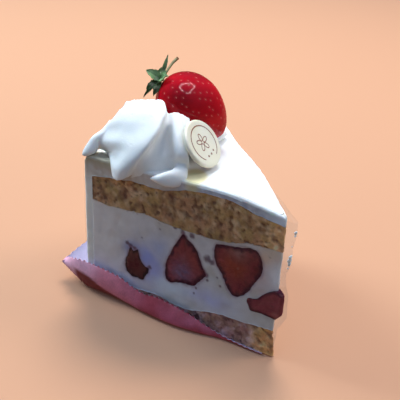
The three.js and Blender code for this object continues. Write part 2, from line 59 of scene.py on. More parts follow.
# Where one layer meets the next: distance from the tip, and height
BOTTOM_SPONGE_TOP = [(0, 12.6), (14, 11.8), (27, 11), (38, 8), (46, 7.7), (54, 9.5), (64, 8.8), (90, 10)]
UPPER_SPONGE_UNDERSIDE = [
    (0, 50), (8, 50), (18, 48.6), (27, 46.5), (52, 46.3), (61, 47.7), (75, 46.5), (90, 47),
]
UPPER_SPONGE_TOP = [
    (0, 60.8), (14, 63.1), (23, 65.2), (33, 65.3), (41, 64.4), (54, 61.2), (70, 60.8), (90, 57.4),
]
COAT_TOP = [(0, 64.8), (8, 66.2), (26, 68.5), (45, 68), (60, 67.4), (75, 67.2), (90, 66.8)]


# Small helpers

def unit(v):
    v = np.asarray(v, float)
    return v / np.linalg.norm(v, axis=-1, keepdims=True)


def through(keys):
    """A smooth function through [x, y] keys."""
    xs, ys = np.array(keys, float).T
    before = np.maximum(np.arange(len(xs)) - 1, 0)
    after = np.minimum(np.arange(len(xs)) + 1, len(xs) - 1)
    slopes = (ys[after] - ys[before]) / (xs[after] - xs[before])

    def value(x):
        i = np.clip(np.searchsorted(xs, x, side="right") - 1, 0, len(xs) - 2)
        width = xs[i + 1] - xs[i]
        t = np.clip((x - xs[i]) / width, 0, 1)
        blend = t * t * (3 - 2 * t)
        bend = slopes[i] * t * (1 - t) ** 2 - slopes[i + 1] * t * t * (1 - t)
        return ys[i] + (ys[i + 1] - ys[i]) * blend + width * bend

    return value


def smoothstep(low, high, x):
    t = np.clip((x - low) / (high - low), 0, 1)
    return t * t * (3 - 2 * t)


def bent(t, a, b, c):
    """A curve from a to c, drawn towards b."""
    return (1 - t) ** 2 * a + 2 * t * (1 - t) * b + t**2 * c


def bent_slope(t, a, b, c):
    return 2 * (1 - t) * (b - a) + 2 * t * (c - b)


def spline(a, b, c, d, t):
    """The smooth curve from b to c that comes from a and goes on to d."""
    return 0.5 * (2 * b + (c - a) * t + (2 * a - 5 * b + 4 * c - d) * t**2 + (3 * b - a - 3 * c + d) * t**3)


def smooth_outline(keys, count):
    """A closed smooth curve through the keys, in even steps."""
    k = np.array(keys, float)
    t = np.linspace(0, 1, 12, endpoint=False)[:, None, None]
    curve = spline(np.roll(k, 1, 0), k, np.roll(k, -1, 0), np.roll(k, -2, 0), t)
    curve = curve.transpose(1, 0, 2).reshape(-1, 2)
    closed = np.concatenate([curve, curve[:1]])
    run = np.concatenate([[0], np.cumsum(np.linalg.norm(np.diff(closed, axis=0), axis=1))])
    at = np.linspace(0, run[-1], count, endpoint=False)
    return np.stack([np.interp(at, run, closed[:, 0]), np.interp(at, run, closed[:, 1])], 1)


def smooth_run(keys, count):
    """Even samples of a smooth run through the keys, which may be points or rows of points."""
    k = np.asarray(keys, float)
    k = np.concatenate([2 * k[:1] - k[1:2], k, 2 * k[-1:] - k[-2:-1]])
    at = np.linspace(0, len(k) - 3 - 1e-9, count)
    i = at.astype(int)
    t = (at - i).reshape(-1, *[1] * (k.ndim - 1))
    return spline(k[i], k[i + 1], k[i + 2], k[i + 3], t)


def hashed(cells, seed):
    """A repeatable number from 0 to 1 for each row of three whole numbers."""
    h = (cells[:, 0] * 374761393 + cells[:, 1] * 668265263 + cells[:, 2] * 1440662683 + seed * 1274126177)
    h &= 0xFFFFFFFF
    h = ((h ^ (h >> 13)) * 1274126177) & 0xFFFFFFFF
    return ((h ^ (h >> 16)) & 0xFFFF) / 0xFFFF


# Turns the noise's cells away from the slice's own directions
ASLANT = np.array([[2, 2, 1], [-2, 1, 2], [1, -2, 2]]) / 3


def noise(p, size, seed=0):
    """Smooth noise from -1 to 1 at points p, with features of that size; each seed gives another pattern."""
    q = np.atleast_2d(p) @ ASLANT / size
    cell = np.floor(q).astype(np.int64)
    f = q - cell
    f = f * f * (3 - 2 * f)
    total = np.zeros(len(q))
    for corner in product((0, 1), repeat=3):
        c = np.array(corner)
        weight = np.prod(np.where(c == 1, f, 1 - f), axis=1)
        total += weight * hashed(cell + c, seed)
    return 2 * total - 1


def mixed(a, b, share):
    """Colours a to b by share, one row for each share."""
    share = np.clip(np.asarray(share, float), 0, 1)[:, None]
    return np.asarray(a, float) * (1 - share) + np.asarray(b, float) * share


def plain(colour, points):
    return np.tile(colour, (len(points), 1))


def turns(count):
    """Even steps round a full turn."""
    return np.arange(count) / count * 2 * math.pi


def circling(angle, radius=1.0, height=0.0):
    """Points round Z."""
    return np.stack([radius * np.cos(angle), radius * np.sin(angle), height + 0 * angle], 1)


# Planes and directions of the slice

APEX = np.array([APEX_X, 0.0, 0.0])
OUT = {s: np.array([math.sin(HALF_ANGLE), s * math.cos(HALF_ANGLE), 0.0]) for s in (-1, 1)}
RIMWARD = {s: np.array([-math.cos(HALF_ANGLE), s * math.sin(HALF_ANGLE), 0.0]) for s in (-1, 1)}
UP = np.array([0.0, 0.0, 1.0])


def by_side(side, pair):
    """The direction of OUT or RIMWARD that goes with each point's side."""
    return np.where((side > 0)[:, None], pair[1], pair[-1])


def on_face(side, along, height, proud=0.0):
    """Points on a cut face: how far they lie from the tip's corner, how high, and how far they stand out."""
    along, height, proud = np.broadcast_arrays(along, height, proud)
    return (APEX + along[..., None] * RIMWARD[side] + height[..., None] * UP + proud[..., None] * OUT[side])


def face_place(p, side):
    """The distance along a cut face, the height and the distance outside that face's plane."""
    d = p - APEX
    return d @ RIMWARD[side], d[:, 2], d @ OUT[side]


def reach_of(p):
    """How far points lie from the tip's corner, seen from above."""
    return np.hypot(APEX_X - p[:, 0], p[:, 1])


def wedge_point(u, v, face_inset=0.0, rim_inset=0.0):
    """The wedge in plan: u runs from the tip to the rim, v from the front cut face to the back one."""
    centre = APEX_X - (face_inset + TIP_RADIUS) / math.sin(HALF_ANGLE)
    tip = v * (math.pi / 2 - HALF_ANGLE)
    radius = CAKE_RADIUS - rim_inset
    rim = v * (HALF_ANGLE - np.arcsin(face_inset / radius))
    x = (1 - u) * (centre + TIP_RADIUS * np.cos(tip)) + u * (APEX_X - radius * np.cos(rim))
    y = (1 - u) * TIP_RADIUS * np.sin(tip) + u * radius * np.sin(rim)
    return x, y


def facing_out(v):
    """The way out of a cut face, turning round the tip."""
    return circling(v * (math.pi / 2 - HALF_ANGLE))


def wall_normal(u, v):
    """The way out of the wedge at its border, none along the rim."""
    on_wall = ((np.abs(v) > 0.999) | (u < 0.001)).astype(float)
    return facing_out(v) * on_wall[:, None]


def layer_height(keys, depth, ragged, seed):
    """Heights of the border between two layers: hand-spread, uneven towards the back and ragged."""
    height = through(keys)

    def at(x, y):
        reach = np.hypot(APEX_X - x, y)
        across = np.arctan2(y, APEX_X - x) / HALF_ANGLE
        wave = np.sin(0.13 * reach + 2.4 * across)
        flat = np.stack([x, y, np.zeros_like(x)], 1)
        rough = 0.65 * noise(flat, 5.0, seed) + 0.45 * noise(flat, 1.9, seed + 1)
        return height(reach) + depth * (1 + across) / 2 * wave + ragged * rough

    return at


bottom_top = layer_height(BOTTOM_SPONGE_TOP, 0.9, 0.55, 11)
upper_under = layer_height(UPPER_SPONGE_UNDERSIDE, 0.8, 0.5, 21)
upper_top = layer_height(UPPER_SPONGE_TOP, 0.7, 0.6, 31)
coat_top = layer_height(COAT_TOP, 0.4, 0.12, 41)


# Bodies: points and a list of arrays of faces

def oriented(points, faces):
    """The same faces, turned to look outwards."""
    volume = 0.0
    for f in faces:
        for k in range(1, f.shape[1] - 1):
            a, b, c = points[f[:, 0]], points[f[:, k]], points[f[:, k + 1]]
            volume += np.einsum("ij,ij->i", a, np.cross(b, c)).sum()
    return faces if volume > 0 else [f[:, ::-1] for f in faces]


def grid_quads(index):
    a, b, c, d = index[:-1, :-1], index[1:, :-1], index[1:, 1:], index[:-1, 1:]
    return np.stack([a.ravel(), b.ravel(), c.ravel(), d.ravel()], 1)


def loop_quads(loops):
    """Quads between loops of vertex numbers that each close on themselves."""
    loops = np.array(loops)
    return grid_quads(np.concatenate([loops, loops[:, :1]], 1))


def fan(loop, middle):
    return np.stack([np.full(len(loop), middle), np.roll(loop, -1), loop], 1)


def slab(us, vs, levels):
    """A closed body from levels of one grid: the first and last are whole, those between only its border."""
    u, v = [g.ravel() for g in np.meshgrid(us, vs, indexing="ij")]
    index = np.arange(len(u)).reshape(len(us), len(vs))
    border = np.concatenate([index[:, 0], index[-1, 1:], index[-2::-1, -1], index[0, -2:0:-1]])
    points = [levels[0](u, v), levels[-1](u, v)]
    points += [level(u[border], v[border]) for level in levels[1:-1]]
    first = 2 * len(u)
    between = [first + k * len(border) + np.arange(len(border)) for k in range(len(levels) - 2)]
    quads = [
        grid_quads(index)[:, ::-1],
        grid_quads(index) + len(u),
        loop_quads([border, *between, border + len(u)]),
    ]
    points = np.concatenate(points)
    return points, oriented(points, [np.concatenate(quads)])


def capped(rings, ends):
    """A closed body round rings of points, drawn in to one point at each end."""
    rings = np.asarray(rings, float)
    points = np.concatenate([rings.reshape(-1, 3), ends])
    index = np.arange(rings.size // 3).reshape(rings.shape[:2])
    caps = np.concatenate([fan(index[0], index.size), fan(index[-1][::-1], index.size + 1)])
    return points, oriented(points, [loop_quads(index), caps])


def lathe(profile, sides):
    """A closed body round Z from its profile of (radius, height), whose two ends lie on the axis."""
    profile = np.array(profile, float)
    rings = [circling(turns(sides), radius, height) for radius, height in profile[1:-1]]
    return capped(rings, [(0, 0, profile[0, 1]), (0, 0, profile[-1, 1])])


def ball(radius, half_height, steps, sides, pear=0.0):
    """A flattened ball round Z; pear draws its widest place upwards."""
    a = np.linspace(0, math.pi, steps)
    profile = [radius * np.sin(a) * (1 - pear * np.cos(a)), -half_height * np.cos(a)]
    return lathe(np.stack(profile, 1), sides)


def sweep(line, facing, half_axes, size, sides):
    """A closed body round a line of points, whose broad side looks to facing."""
    line = np.asarray(line, float)
    size = np.broadcast_to(size, len(line))
    tangent = unit(np.gradient(line, axis=0))
    side = unit(np.cross(tangent, np.broadcast_to(facing, line.shape)))
    over = np.cross(side, tangent)
    angle = turns(sides)
    rings = (
        line[:, None]
        + side[:, None] * (half_axes[0] * size)[:, None, None] * np.cos(angle)[:, None]
        + over[:, None] * (half_axes[1] * size)[:, None, None] * np.sin(angle)[:, None]
    )
    bulge = 0.5 * half_axes[1] * size
    return capped(rings, [line[0] - tangent[0] * bulge[0], line[-1] + tangent[-1] * bulge[-1]])


def joined(bodies):
    """Several bodies as one set of points and faces."""
    points, faces, count = [], [], 0
    for p, fs in bodies:
        points.append(p)
        faces += [f + count for f in fs]
        count += len(p)
    return np.concatenate(points), faces


# From bodies to pieces of the object

def mesh_of(name, points, faces):
    mesh = bpy.data.meshes.new(name)
    mesh.vertices.add(len(points))
    mesh.vertices.foreach_set("co", (points * MM).astype(np.float32).ravel())
    corners = np.concatenate([f.ravel() for f in faces]).astype(np.int32)
    sizes = np.concatenate([np.full(len(f), f.shape[1]) for f in faces])
    mesh.loops.add(len(corners))
    mesh.loops.foreach_set("vertex_index", corners)
    mesh.polygons.add(len(sizes))
    mesh.polygons.foreach_set("loop_start", (np.cumsum(sizes) - sizes).astype(np.int32))
    mesh.update(calc_edges=True)
    mesh.validate()
    mesh.shade_smooth()
    return mesh


def placed(name, data):
    """A new object in the scene."""
    thing = bpy.data.objects.new(name, data)
    bpy.context.scene.collection.objects.link(thing)
    return thing


def finished(name, body, nodes, materials, tint=None):
    """A piece of the object from points and faces, or from a mesh; tint gives each vertex its colour."""
    mesh = mesh_of(name, *body) if isinstance(body, tuple) else body
    if tint is not None:
        colours = np.ones((len(mesh.vertices), 4), np.float32)
        colours[:, :3] = np.clip(tint, 0, 1)
        layer = mesh.color_attributes.new("tint", "FLOAT_COLOR", "POINT")
        layer.data.foreach_set("color", colours.ravel())
    for material in materials:
        mesh.materials.append(material)
    piece = placed(name, mesh)
    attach(piece, "root")
    if nodes:
        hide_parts(*nodes)
    return piece


def vertex_values(mesh, name):
    """The mesh's "co" or "normal" for every vertex."""
    flat = np.empty(len(mesh.vertices) * 3, np.float32)
    mesh.vertices.foreach_get(name, flat)
    return flat.reshape(-1, 3).astype(float)


# Materials

def new_material(name):
    material = bpy.data.materials.new(name)
    material.use_nodes = True
    return material, material.node_tree.nodes, material.node_tree.links


def put(node, values):
    """Sets a node's inputs by name."""
    for name, value in values.items():
        node.inputs[name].default_value = value


def added(nodes, kind, values=None):
    """A new shader node with those inputs."""
    node = nodes.new("ShaderNode" + kind)
    put(node, values or {})
    return node


def noise_node(nodes, links, coords, size, detail=3.0):
    """A noise texture whose features are about that size in millimetres."""
    node = added(nodes, "TexNoise", {"Scale": 1 / (size * MM), "Detail": detail})
    links.new(coords, node.inputs["Vector"])
    return node.outputs["Fac"]


def bumped(nodes, links, height, distance, shader):
    """Gives the shader a relief of that distance in millimetres."""
    relief = added(nodes, "Bump", {"Distance": distance * MM})
    links.new(height, relief.inputs["Height"])
    links.new(relief.outputs["Normal"], shader.inputs["Normal"])


# Broad patches in a food's colour are that much larger than its grain
PATCH_SCALE = 6


def food_material(name, roughness, variation, grain, bump, base=None, subsurface=0.0, radius=(1, 1, 1),
                  coat=0.0, coat_roughness=0.1, specular=0.5):
    """Vertex tint, or a base colour, broken up by noise; grain and bump are the noise's size and height."""
    material, nodes, links = new_material(name)
    shader = nodes["Principled BSDF"]
    coords = added(nodes, "TexCoord").outputs["Object"]
    fine = noise_node(nodes, links, coords, grain)
    total = added(nodes, "Math")
    total.operation = "ADD"
    links.new(fine, total.inputs[0])
    links.new(noise_node(nodes, links, coords, grain * PATCH_SCALE), total.inputs[1])
    spread = added(nodes, "MapRange", {
        "From Min": 0.6, "From Max": 1.4, "To Min": 1 - variation, "To Max": 1 + variation,
    })
    links.new(total.outputs[0], spread.inputs["Value"])
    shaded = added(nodes, "VectorMath")
    shaded.operation = "SCALE"
    if base is None:
        tint = added(nodes, "VertexColor")
        tint.layer_name = "tint"
        links.new(tint.outputs["Color"], shaded.inputs[0])
    else:
        shaded.inputs[0].default_value = base
    links.new(spread.outputs["Result"], shaded.inputs["Scale"])
    links.new(shaded.outputs["Vector"], shader.inputs["Base Color"])
    bumped(nodes, links, fine, bump, shader)
    put(shader, {
        "Roughness": roughness, "Specular IOR Level": specular, "Subsurface Weight": subsurface,
        "Subsurface Radius": radius, "Subsurface Scale": MM, "Coat Weight": coat,
        "Coat Roughness": coat_roughness,
    })
    return material


def film_material():
    """Clear film: what is behind it shows, under a thin gloss that is stronger at a slant."""
    material, nodes, links = new_material("clear_film")
    nodes.remove(nodes["Principled BSDF"])
    clear = added(nodes, "BsdfTransparent", {"Color": (0.96, 0.97, 0.98, 1)})
    gloss = added(nodes, "BsdfGlossy", {"Color": (0.88, 0.93, 1, 1), "Roughness": 0.2})
    coords = added(nodes, "TexCoord").outputs["Object"]
    bumped(nodes, links, noise_node(nodes, links, coords, 5, 1), 0.1, gloss)
    slant = added(nodes, "LayerWeight", {"Blend": 0.12})
    share = added(nodes, "MapRange", {"To Min": 0.002, "To Max": 0.10})
    links.new(slant.outputs["Facing"], share.inputs["Value"])
    mix = added(nodes, "MixShader")
    links.new(share.outputs["Result"], mix.inputs["Fac"])
    links.new(clear.outputs["BSDF"], mix.inputs[1])
    links.new(gloss.outputs["BSDF"], mix.inputs[2])
    links.new(mix.outputs["Shader"], nodes["Material Output"].inputs["Surface"])
    return material


CREAM = (0.90, 0.885, 0.85)
FILLING = (0.74, 0.69, 0.67)
FILLING_WARM = np.array(FILLING) * (0.90, 0.86, 0.76)
SPONGE_BROWN = (0.64, 0.31, 0.15)
SPONGE_OLIVE = (0.60, 0.35, 0.13)
SPONGE_DARK = (0.17, 0.065, 0.035)
SPONGE_PALE = (0.92, 0.62, 0.36)
RED_RIM = (0.060, 0.006, 0.020)
RED_FLESH = (0.27, 0.04, 0.045)
RED_CORE = (0.44, 0.14, 0.13)

# Each food: roughness, how much its colour varies, the grain of that and its bump, in millimetres
cream_material = food_material(
    "whipped_cream", 0.5, 0.03, 0.5, 0.06, subsurface=0.25, radius=(2.2, 1.8, 1.4), specular=0.15)
sponge_material = food_material("sponge_crumb", 0.9, 0.25, 0.4, 0.35, specular=0.08)
filling_material = food_material(
    "cream_filling", 0.55, 0.08, 0.5, 0.12, subsurface=0.1, radius=(2, 1.5, 1.2), specular=0.2)
cut_material = food_material("cut_strawberry", 0.4, 0.35, 0.4, 0.12, specular=0.05)
skin_material = food_material(
    "strawberry_skin", 0.35, 0.06, 0.6, 0.04, subsurface=0.12, radius=(2, 0.2, 0.15), coat=0.4,
    coat_roughness=0.02, specular=0.0)
seed_material = food_material(
    "strawberry_seeds", 0.5, 0.15, 0.3, 0.02, base=(0.58, 0.09, 0.075), specular=0.1)
leaf_material = food_material("strawberry_leaf", 0.5, 0.2, 0.5, 0.08, specular=0.25)
chocolate_material = food_material(
    "white_chocolate", 0.35, 0.03, 0.8, 0.03, subsurface=0.15, radius=(1.5, 1.2, 0.7))
print_material = food_material("chocolate_print", 0.5, 0.15, 0.4, 0.02, base=(0.30, 0.11, 0.06))
paper_inside = food_material("paper_inside", 0.6, 0.06, 0.5, 0.05, specular=0.2)
paper_outside = food_material("paper_outside", 0.55, 0.2, 0.6, 0.05, specular=0.12)
clear_film = film_material()


# Layers: sponges and filling

# The steps of a layer's grid, from the tip to the rim and from the front cut face to the back one
ALONG = np.linspace(0, 1, 200)
ACROSS = np.linspace(-1, 1, 13)
PORE_DEPTH = 0.5


def cake_layer(under, over, count, relief):
    """A layer between two surfaces, in that many levels, its cut faces moved in and out by relief."""
    def level(share):
        def at(u, v):
            x, y = wedge_point(u, v, 0.0, RIM_COAT)
            p = np.stack([x, y, (1 - share) * under(x, y) + share * over(x, y)], 1)
            return p + wall_normal(u, v) * relief(p)[:, None]
        return at

    return slab(ALONG, ACROSS, [level(share) for share in np.linspace(0, 1, count)])


def crumb(seed):
    """How far crumb stands out, and how deep its pores are, from 0 to 1."""
    def pores(p):
        large = smoothstep(0.28, 0.75, noise(p, 1.7, seed))
        small = smoothstep(0.3, 0.8, noise(p, 0.95, seed + 1))
        return np.clip(large + 0.8 * small, 0, 1)

    def relief(p):
        return 0.22 * noise(p, 3.5, seed + 2) + 0.14 * noise(p, 0.9, seed + 3) - PORE_DEPTH * pores(p)

    return relief, pores


def sponge_tint(p, pores, seed):
    """Brown and olive patches with pale and dark crumbs in them, and dark pores."""
    olive = 0.5 + 0.8 * noise(p, 6, seed + 5) + 0.6 * noise(p, 2.4, seed + 7)
    pale = 0.7 * noise(p, 1.6, seed + 6) + 0.35 * noise(p, 4.5, seed + 9) + 0.1
    dark = -0.7 * noise(p, 2.6, seed + 8) - 0.4 * noise(p, 1.2, seed + 10) + 0.05
    tint = mixed(mixed(SPONGE_BROWN, SPONGE_OLIVE, olive), SPONGE_PALE, pale)
    tint = mixed(tint, SPONGE_DARK, dark)
    return mixed(tint, SPONGE_DARK, 0.8 * pores)


def sponge(name, node, under, over, count, seed, flare):
    relief, pores = crumb(seed)
    points, faces = cake_layer(under, over, count, relief)
    points, tint = flare(points, sponge_tint(points, pores(points), seed))
    return finished(name, (points, faces), [node], [sponge_material], tint)


def floor_level(x, y):
    return np.full_like(x, CAKE_FLOOR)


# How far the bottom sponge is pressed out at the tip, and the share by which it grows wider there
FOOT_OUT, FOOT_WIDER, FOOT_REACH, FOOT_HEIGHT = 2.4, 0.4, 7, 12
# Painted shadow, orange-brown, at the bottom sponge's foot under the tip
FOOT_PAINTED_SHADOW = (0.98, 0.50, 0.19)
# Painted light close to the tip and a painted bluish reflection of the film a little farther off: how much
# they change its colour
NEAR_TIP_PAINTED_LIGHT = (1.65, 1.5, 1.25)
BY_TIP_PAINTED_REFLECTION = (0.92, 0.86, 1.55)
# How much paler the sponges are where they are pale
PALER = 0.5


def tip_flare(points, tint):
    """The bottom sponge is pressed out a little under the tip, with painted light, a painted bluish
    reflection of the film and a painted shadow at its foot there, and paler farther on, with painted light.
    """
    reach = reach_of(points)
    near = np.exp(-reach / FOOT_REACH)
    low = np.clip(1 - points[:, 2] / FOOT_HEIGHT, 0, 1)
    points = points.copy()
    points[:, 0] += FOOT_OUT * near * low
    points[:, 1] *= 1 + FOOT_WIDER * near * low
    # Painted light where the paper flap shades it: paler from 38 mm from the tip on
    tint = tint * (1 + PALER * smoothstep(38, 50, reach))[:, None]
    shown = smoothstep(2, -1, points[:, 1])
    # Painted bluish reflection of the film, then painted light close to the tip
    tint = tint * mixed((1, 1, 1), BY_TIP_PAINTED_REFLECTION, shown * smoothstep(6, 13, reach))
    tint = tint * mixed((1, 1, 1), NEAR_TIP_PAINTED_LIGHT, shown * smoothstep(13, 4, reach))
    # Painted shadow at the foot under the tip
    foot = smoothstep(3.5, 0.5, points[:, 2]) * smoothstep(7, 3, reach)
    return points, mixed(tint, FOOT_PAINTED_SHADOW, 0.8 * foot)


def pale_tip(points, tint):
    """The upper sponge is paler towards the tip."""
    return points, tint * (1 + PALER * smoothstep(14, 3, reach_of(points)))[:, None]


sponge("sponge_bottom_crumb", "sponge_bottom", floor_level, bottom_top, 20, 100, tip_flare)
sponge("sponge_top_crumb", "sponge_top", upper_under, upper_top, 28, 200, pale_tip)


# The cut strawberries' outlines on the cut faces, as distance from the tip and height
FRONT_1 = [
    (68.7, 29.3), (67.2, 27.8), (65.2, 29.3), (64.5, 27.2), (63.6, 24.5), (61.6, 22.1), (59.3, 21.2),
    (61, 17.1), (62.5, 14.7), (65.3, 14.7), (67.9, 14.6), (70.7, 17), (71.3, 21.2), (70, 25.8),
]
FRONT_2 = [
    (43.6, 44.2), (41.6, 42.3), (38.9, 40.6), (36.8, 38), (35, 33.8), (33.7, 31), (32.3, 28.3), (33.6, 25.9),
    (36.2, 22.4), (38.3, 20.4), (41.7, 20.3), (45.2, 19.7), (48.8, 18.4), (51.1, 20.5), (51.4, 25.8),
    (50, 31.3), (47.8, 36.6), (45.6, 40.9),
]
MIDDLE = [
    (28.9, 43.8), (26.5, 45.1), (22.9, 45.6), (17.9, 46.5), (14.2, 47.5), (11, 46.9), (9.1, 44), (8.2, 40.7),
    (8.8, 36.6), (10.6, 33.1), (12.1, 29.8), (13.9, 26.3), (16.6, 23.6), (19.5, 22.9), (21.9, 24.9),
    (24.1, 28.8), (25.9, 32.2), (28, 35.1), (29.4, 39.7),
]
BACK_1 = [
    (73, 38), (69.5, 39.5), (65.5, 37.5), (61.5, 33), (59.8, 27.5), (61.5, 21.5), (65.4, 17.6), (69.5, 16.4),
    (73.6, 18), (76.3, 22.5), (77, 28), (75.6, 33.5),
]
BACK_2 = [
    (47.5, 18), (51, 22), (53.2, 27.5), (53.4, 33.5), (51.5, 39), (47.5, 41.8), (43.5, 40.6), (39.6, 42),
    (36.3, 38.6), (34.8, 33), (36.2, 27), (39.2, 21.4), (43.5, 17.8),
]
FACE_BERRIES = {-1: [FRONT_1, FRONT_2, MIDDLE], 1: [BACK_1, BACK_2]}


def inside_depth(along, height, outline):
    """How far points lie inside a closed outline, negative outside it, in millimetres."""
    a, b = outline, np.roll(outline, -1, 0)
    p = np.stack([along, height], 1)[:, None]
    edge = (b - a)[None]
    t = np.clip(((p - a) * edge).sum(2) / (edge**2).sum(2), 0, 1)
    near = np.sqrt((((p - a) - t[..., None] * edge) ** 2).sum(2)).min(1)
    crosses = (a[:, 1] > p[..., 1]) != (b[:, 1] > p[..., 1])
    rise = np.where(b[:, 1] == a[:, 1], 1e-9, b[:, 1] - a[:, 1])
    x = a[:, 0] + (p[..., 1] - a[:, 1]) / rise * (b - a)[:, 0]
    inside = (crosses & (p[..., 0] < x)).sum(1) % 2 == 1
    return np.where(inside, near, -near)


# The depth that stands for a place away from the strawberries, and how far round them it is worked out
FAR_OUTSIDE, MARGIN = -9.0, 3
# How far behind the cut face's plane the wall's own points may lie
WALL_DEPTH = 1.5


def berry_depth(points, side):
    """How far points of the filling's wall lie inside that face's strawberries."""
    along, height, out = face_place(points, side)
    depth = np.full(len(points), FAR_OUTSIDE)
    wall = np.flatnonzero(out > -WALL_DEPTH)
    place = np.stack([along[wall], height[wall]], 1)
    for keys in FACE_BERRIES[side]:
        outline = smooth_outline(keys, 60)
        low, high = outline.min(0) - MARGIN, outline.max(0) + MARGIN
        near = wall[((place > low) & (place < high)).all(1)]
        if len(near):
            depth[near] = np.maximum(depth[near], inside_depth(along[near], height[near], outline))
    return depth


# Stains on the front face, with patches of painted light and painted reflection among them: distance from the
# tip, height, half widths, colour, strength
FRONT_STAINS_AND_PAINTED_LIGHT = [
    # Painted warm light towards the lit rim end
    (88, 30, 17, 30, (1.0, 0.89, 0.81), 0.95),
    # Painted light thrown up from the paper, low down
    (86, 13, 14, 7, (1.0, 0.86, 0.94), 0.9),
    (72, 11, 12, 6, (1.0, 0.86, 0.92), 0.9),
    (76, 40, 10, 8, (0.92, 0.82, 0.74), 0.6),
    # Painted blue reflections of the film
    (61, 26, 7, 7, (0.34, 0.42, 0.95), 0.8),
    (58, 20, 6, 6, (0.46, 0.46, 0.86), 0.8),
    (54, 34, 5, 5, (0.48, 0.52, 0.72), 0.7),
    (48, 16, 10, 4, (0.86, 0.92, 1.0), 0.85),
    (30, 17, 10, 5, (0.60, 0.60, 0.95), 0.6),
    (68, 29, 4, 3, (0.25, 0.26, 0.50), 0.9),
    (66, 22, 6, 9, (0.42, 0.38, 0.56), 0.5),
    (8, 36, 5, 9, (0.72, 0.48, 0.44), 0.7),
    (4, 48, 5, 3, (0.72, 0.52, 0.34), 0.8),
    (8, 45.5, 5, 3.5, (0.88, 0.57, 0.36), 0.8),
    (20, 47, 14, 2.5, (0.60, 0.50, 0.46), 0.5),
    # Painted highlight where the tip catches the light
    (0.5, 39, 5, 7, (1.0, 0.94, 0.91), 0.95),
]
# Dark specks on the front face: distance from the tip, height and radius
SPECKS = [
    (43.3, 34.7, 0.5), (37.2, 17.4, 0.45), (36.4, 20.3, 0.5), (47.5, 46, 0.8), (43.8, 44.9, 1.0),
    (42.6, 43.2, 0.9), (39.6, 44.6, 1.2), (32, 36.2, 1.6), (29.9, 35.4, 1.2), (27.2, 28.8, 0.4),
    (25.6, 25.2, 0.6), (63.1, 36, 0.35), (54.5, 42.8, 0.35), (70.4, 31, 0.9), (68.7, 30, 1.1),
    (66.8, 29.6, 0.9), (59, 22.3, 0.9), (32.5, 28.3, 1.2), (33.4, 30, 0.8), (31.6, 26, 0.7),
]
SPECK_COLOUR = (0.10, 0.045, 0.085)
JUICE = (0.30, 0.14, 0.20)
# Height of the filling's upper edge, where crumbs of the sponge stick to it
CRUMB_HEIGHT = 46.5


def filling_tint(p):
    """Warm mottling, stains, painted light and painted reflections, specks and crumbs on the front face, and
    juice round the strawberries.
    """
    tint = plain(FILLING, p) * (1 + 0.06 * noise(p, 7, 301))[:, None]
    tint = mixed(tint, FILLING_WARM, 0.55 * smoothstep(0, 0.7, noise(p, 4.5, 307)))
    tint = tint * (1 + 0.07 * noise(p, 2.6, 308))[:, None]
    along, height, out = face_place(p, -1)
    on_front = smoothstep(-3, -0.5, out)
    # Stains, with painted light and painted reflections among them
    for reach, level, half_width, half_height, colour, strength in FRONT_STAINS_AND_PAINTED_LIGHT:
        blob = np.exp(-((along - reach) / half_width) ** 2 - ((height - level) / half_height) ** 2)
        tint = mixed(tint, colour, strength * blob * on_front * (1 + 0.3 * noise(p, 3, 302)))
    for reach, level, radius in SPECKS:
        away = np.hypot(along - reach, height - level) / radius
        blob = smoothstep(1.5, 0.6, away + 0.3 * noise(p, 0.7, 303))
        tint = mixed(tint, SPECK_COLOUR, 0.85 * blob * on_front)
    crumbs = smoothstep(0.62, 0.85, noise(p, 1.1, 304)) * smoothstep(2.5, 0, np.abs(height - CRUMB_HEIGHT))
    tint = mixed(tint, SPONGE_DARK, 0.5 * crumbs)
    for side in (-1, 1):
        juice = smoothstep(-1.3, 0.1, berry_depth(p, side) + 0.5 * noise(p, 1.5, 305))
        tint = mixed(tint, JUICE, 0.6 * juice)
    return tint


# How deep the filling's wall lies behind each cut strawberry
BERRY_HOLLOW = 0.7


def filling_relief(p):
    """Smears on the cut faces, flush at the rim, and a hollow behind each cut strawberry."""
    depth = np.maximum(berry_depth(p, -1), berry_depth(p, 1))
    smears = 0.14 * noise(p, 4, 310) + 0.09 * noise(p * (1, 1, 0.5), 1.6, 311)
    smears = smears * smoothstep(86, 82, reach_of(p))
    return smears * smoothstep(0.3, -0.6, depth) - BERRY_HOLLOW * smoothstep(-0.1, 0.7, depth)


def filling():
    body = cake_layer(bottom_top, upper_under, 70, filling_relief)
    return finished(
        "filling_smoothed", body, ["cream_filling"], [filling_material], filling_tint(body[0]))


filling()


# The spread cream: one shell over the top and down the rim

CORNER = 3.0
TOP_RUN = CAKE_RADIUS - CORNER
ARC_RUN = CORNER * math.pi / 2
RIM_RUN = 62.0
INNER_RADIUS = CAKE_RADIUS - RIM_COAT
# How its cut edge rounds off: depth below the surface and inset from the cut face
COAT_EDGE = [(0.0, 1.0), (0.06, 0.8), (0.2, 0.5), (0.45, 0.25), (0.9, 0.08), (1.6, 0.0)]
# How far the cut strip sinks in, and the depth down to which the surface keeps its own shape
CUT_SINK, SURFACE_DEPTH = 0.12, 0.1


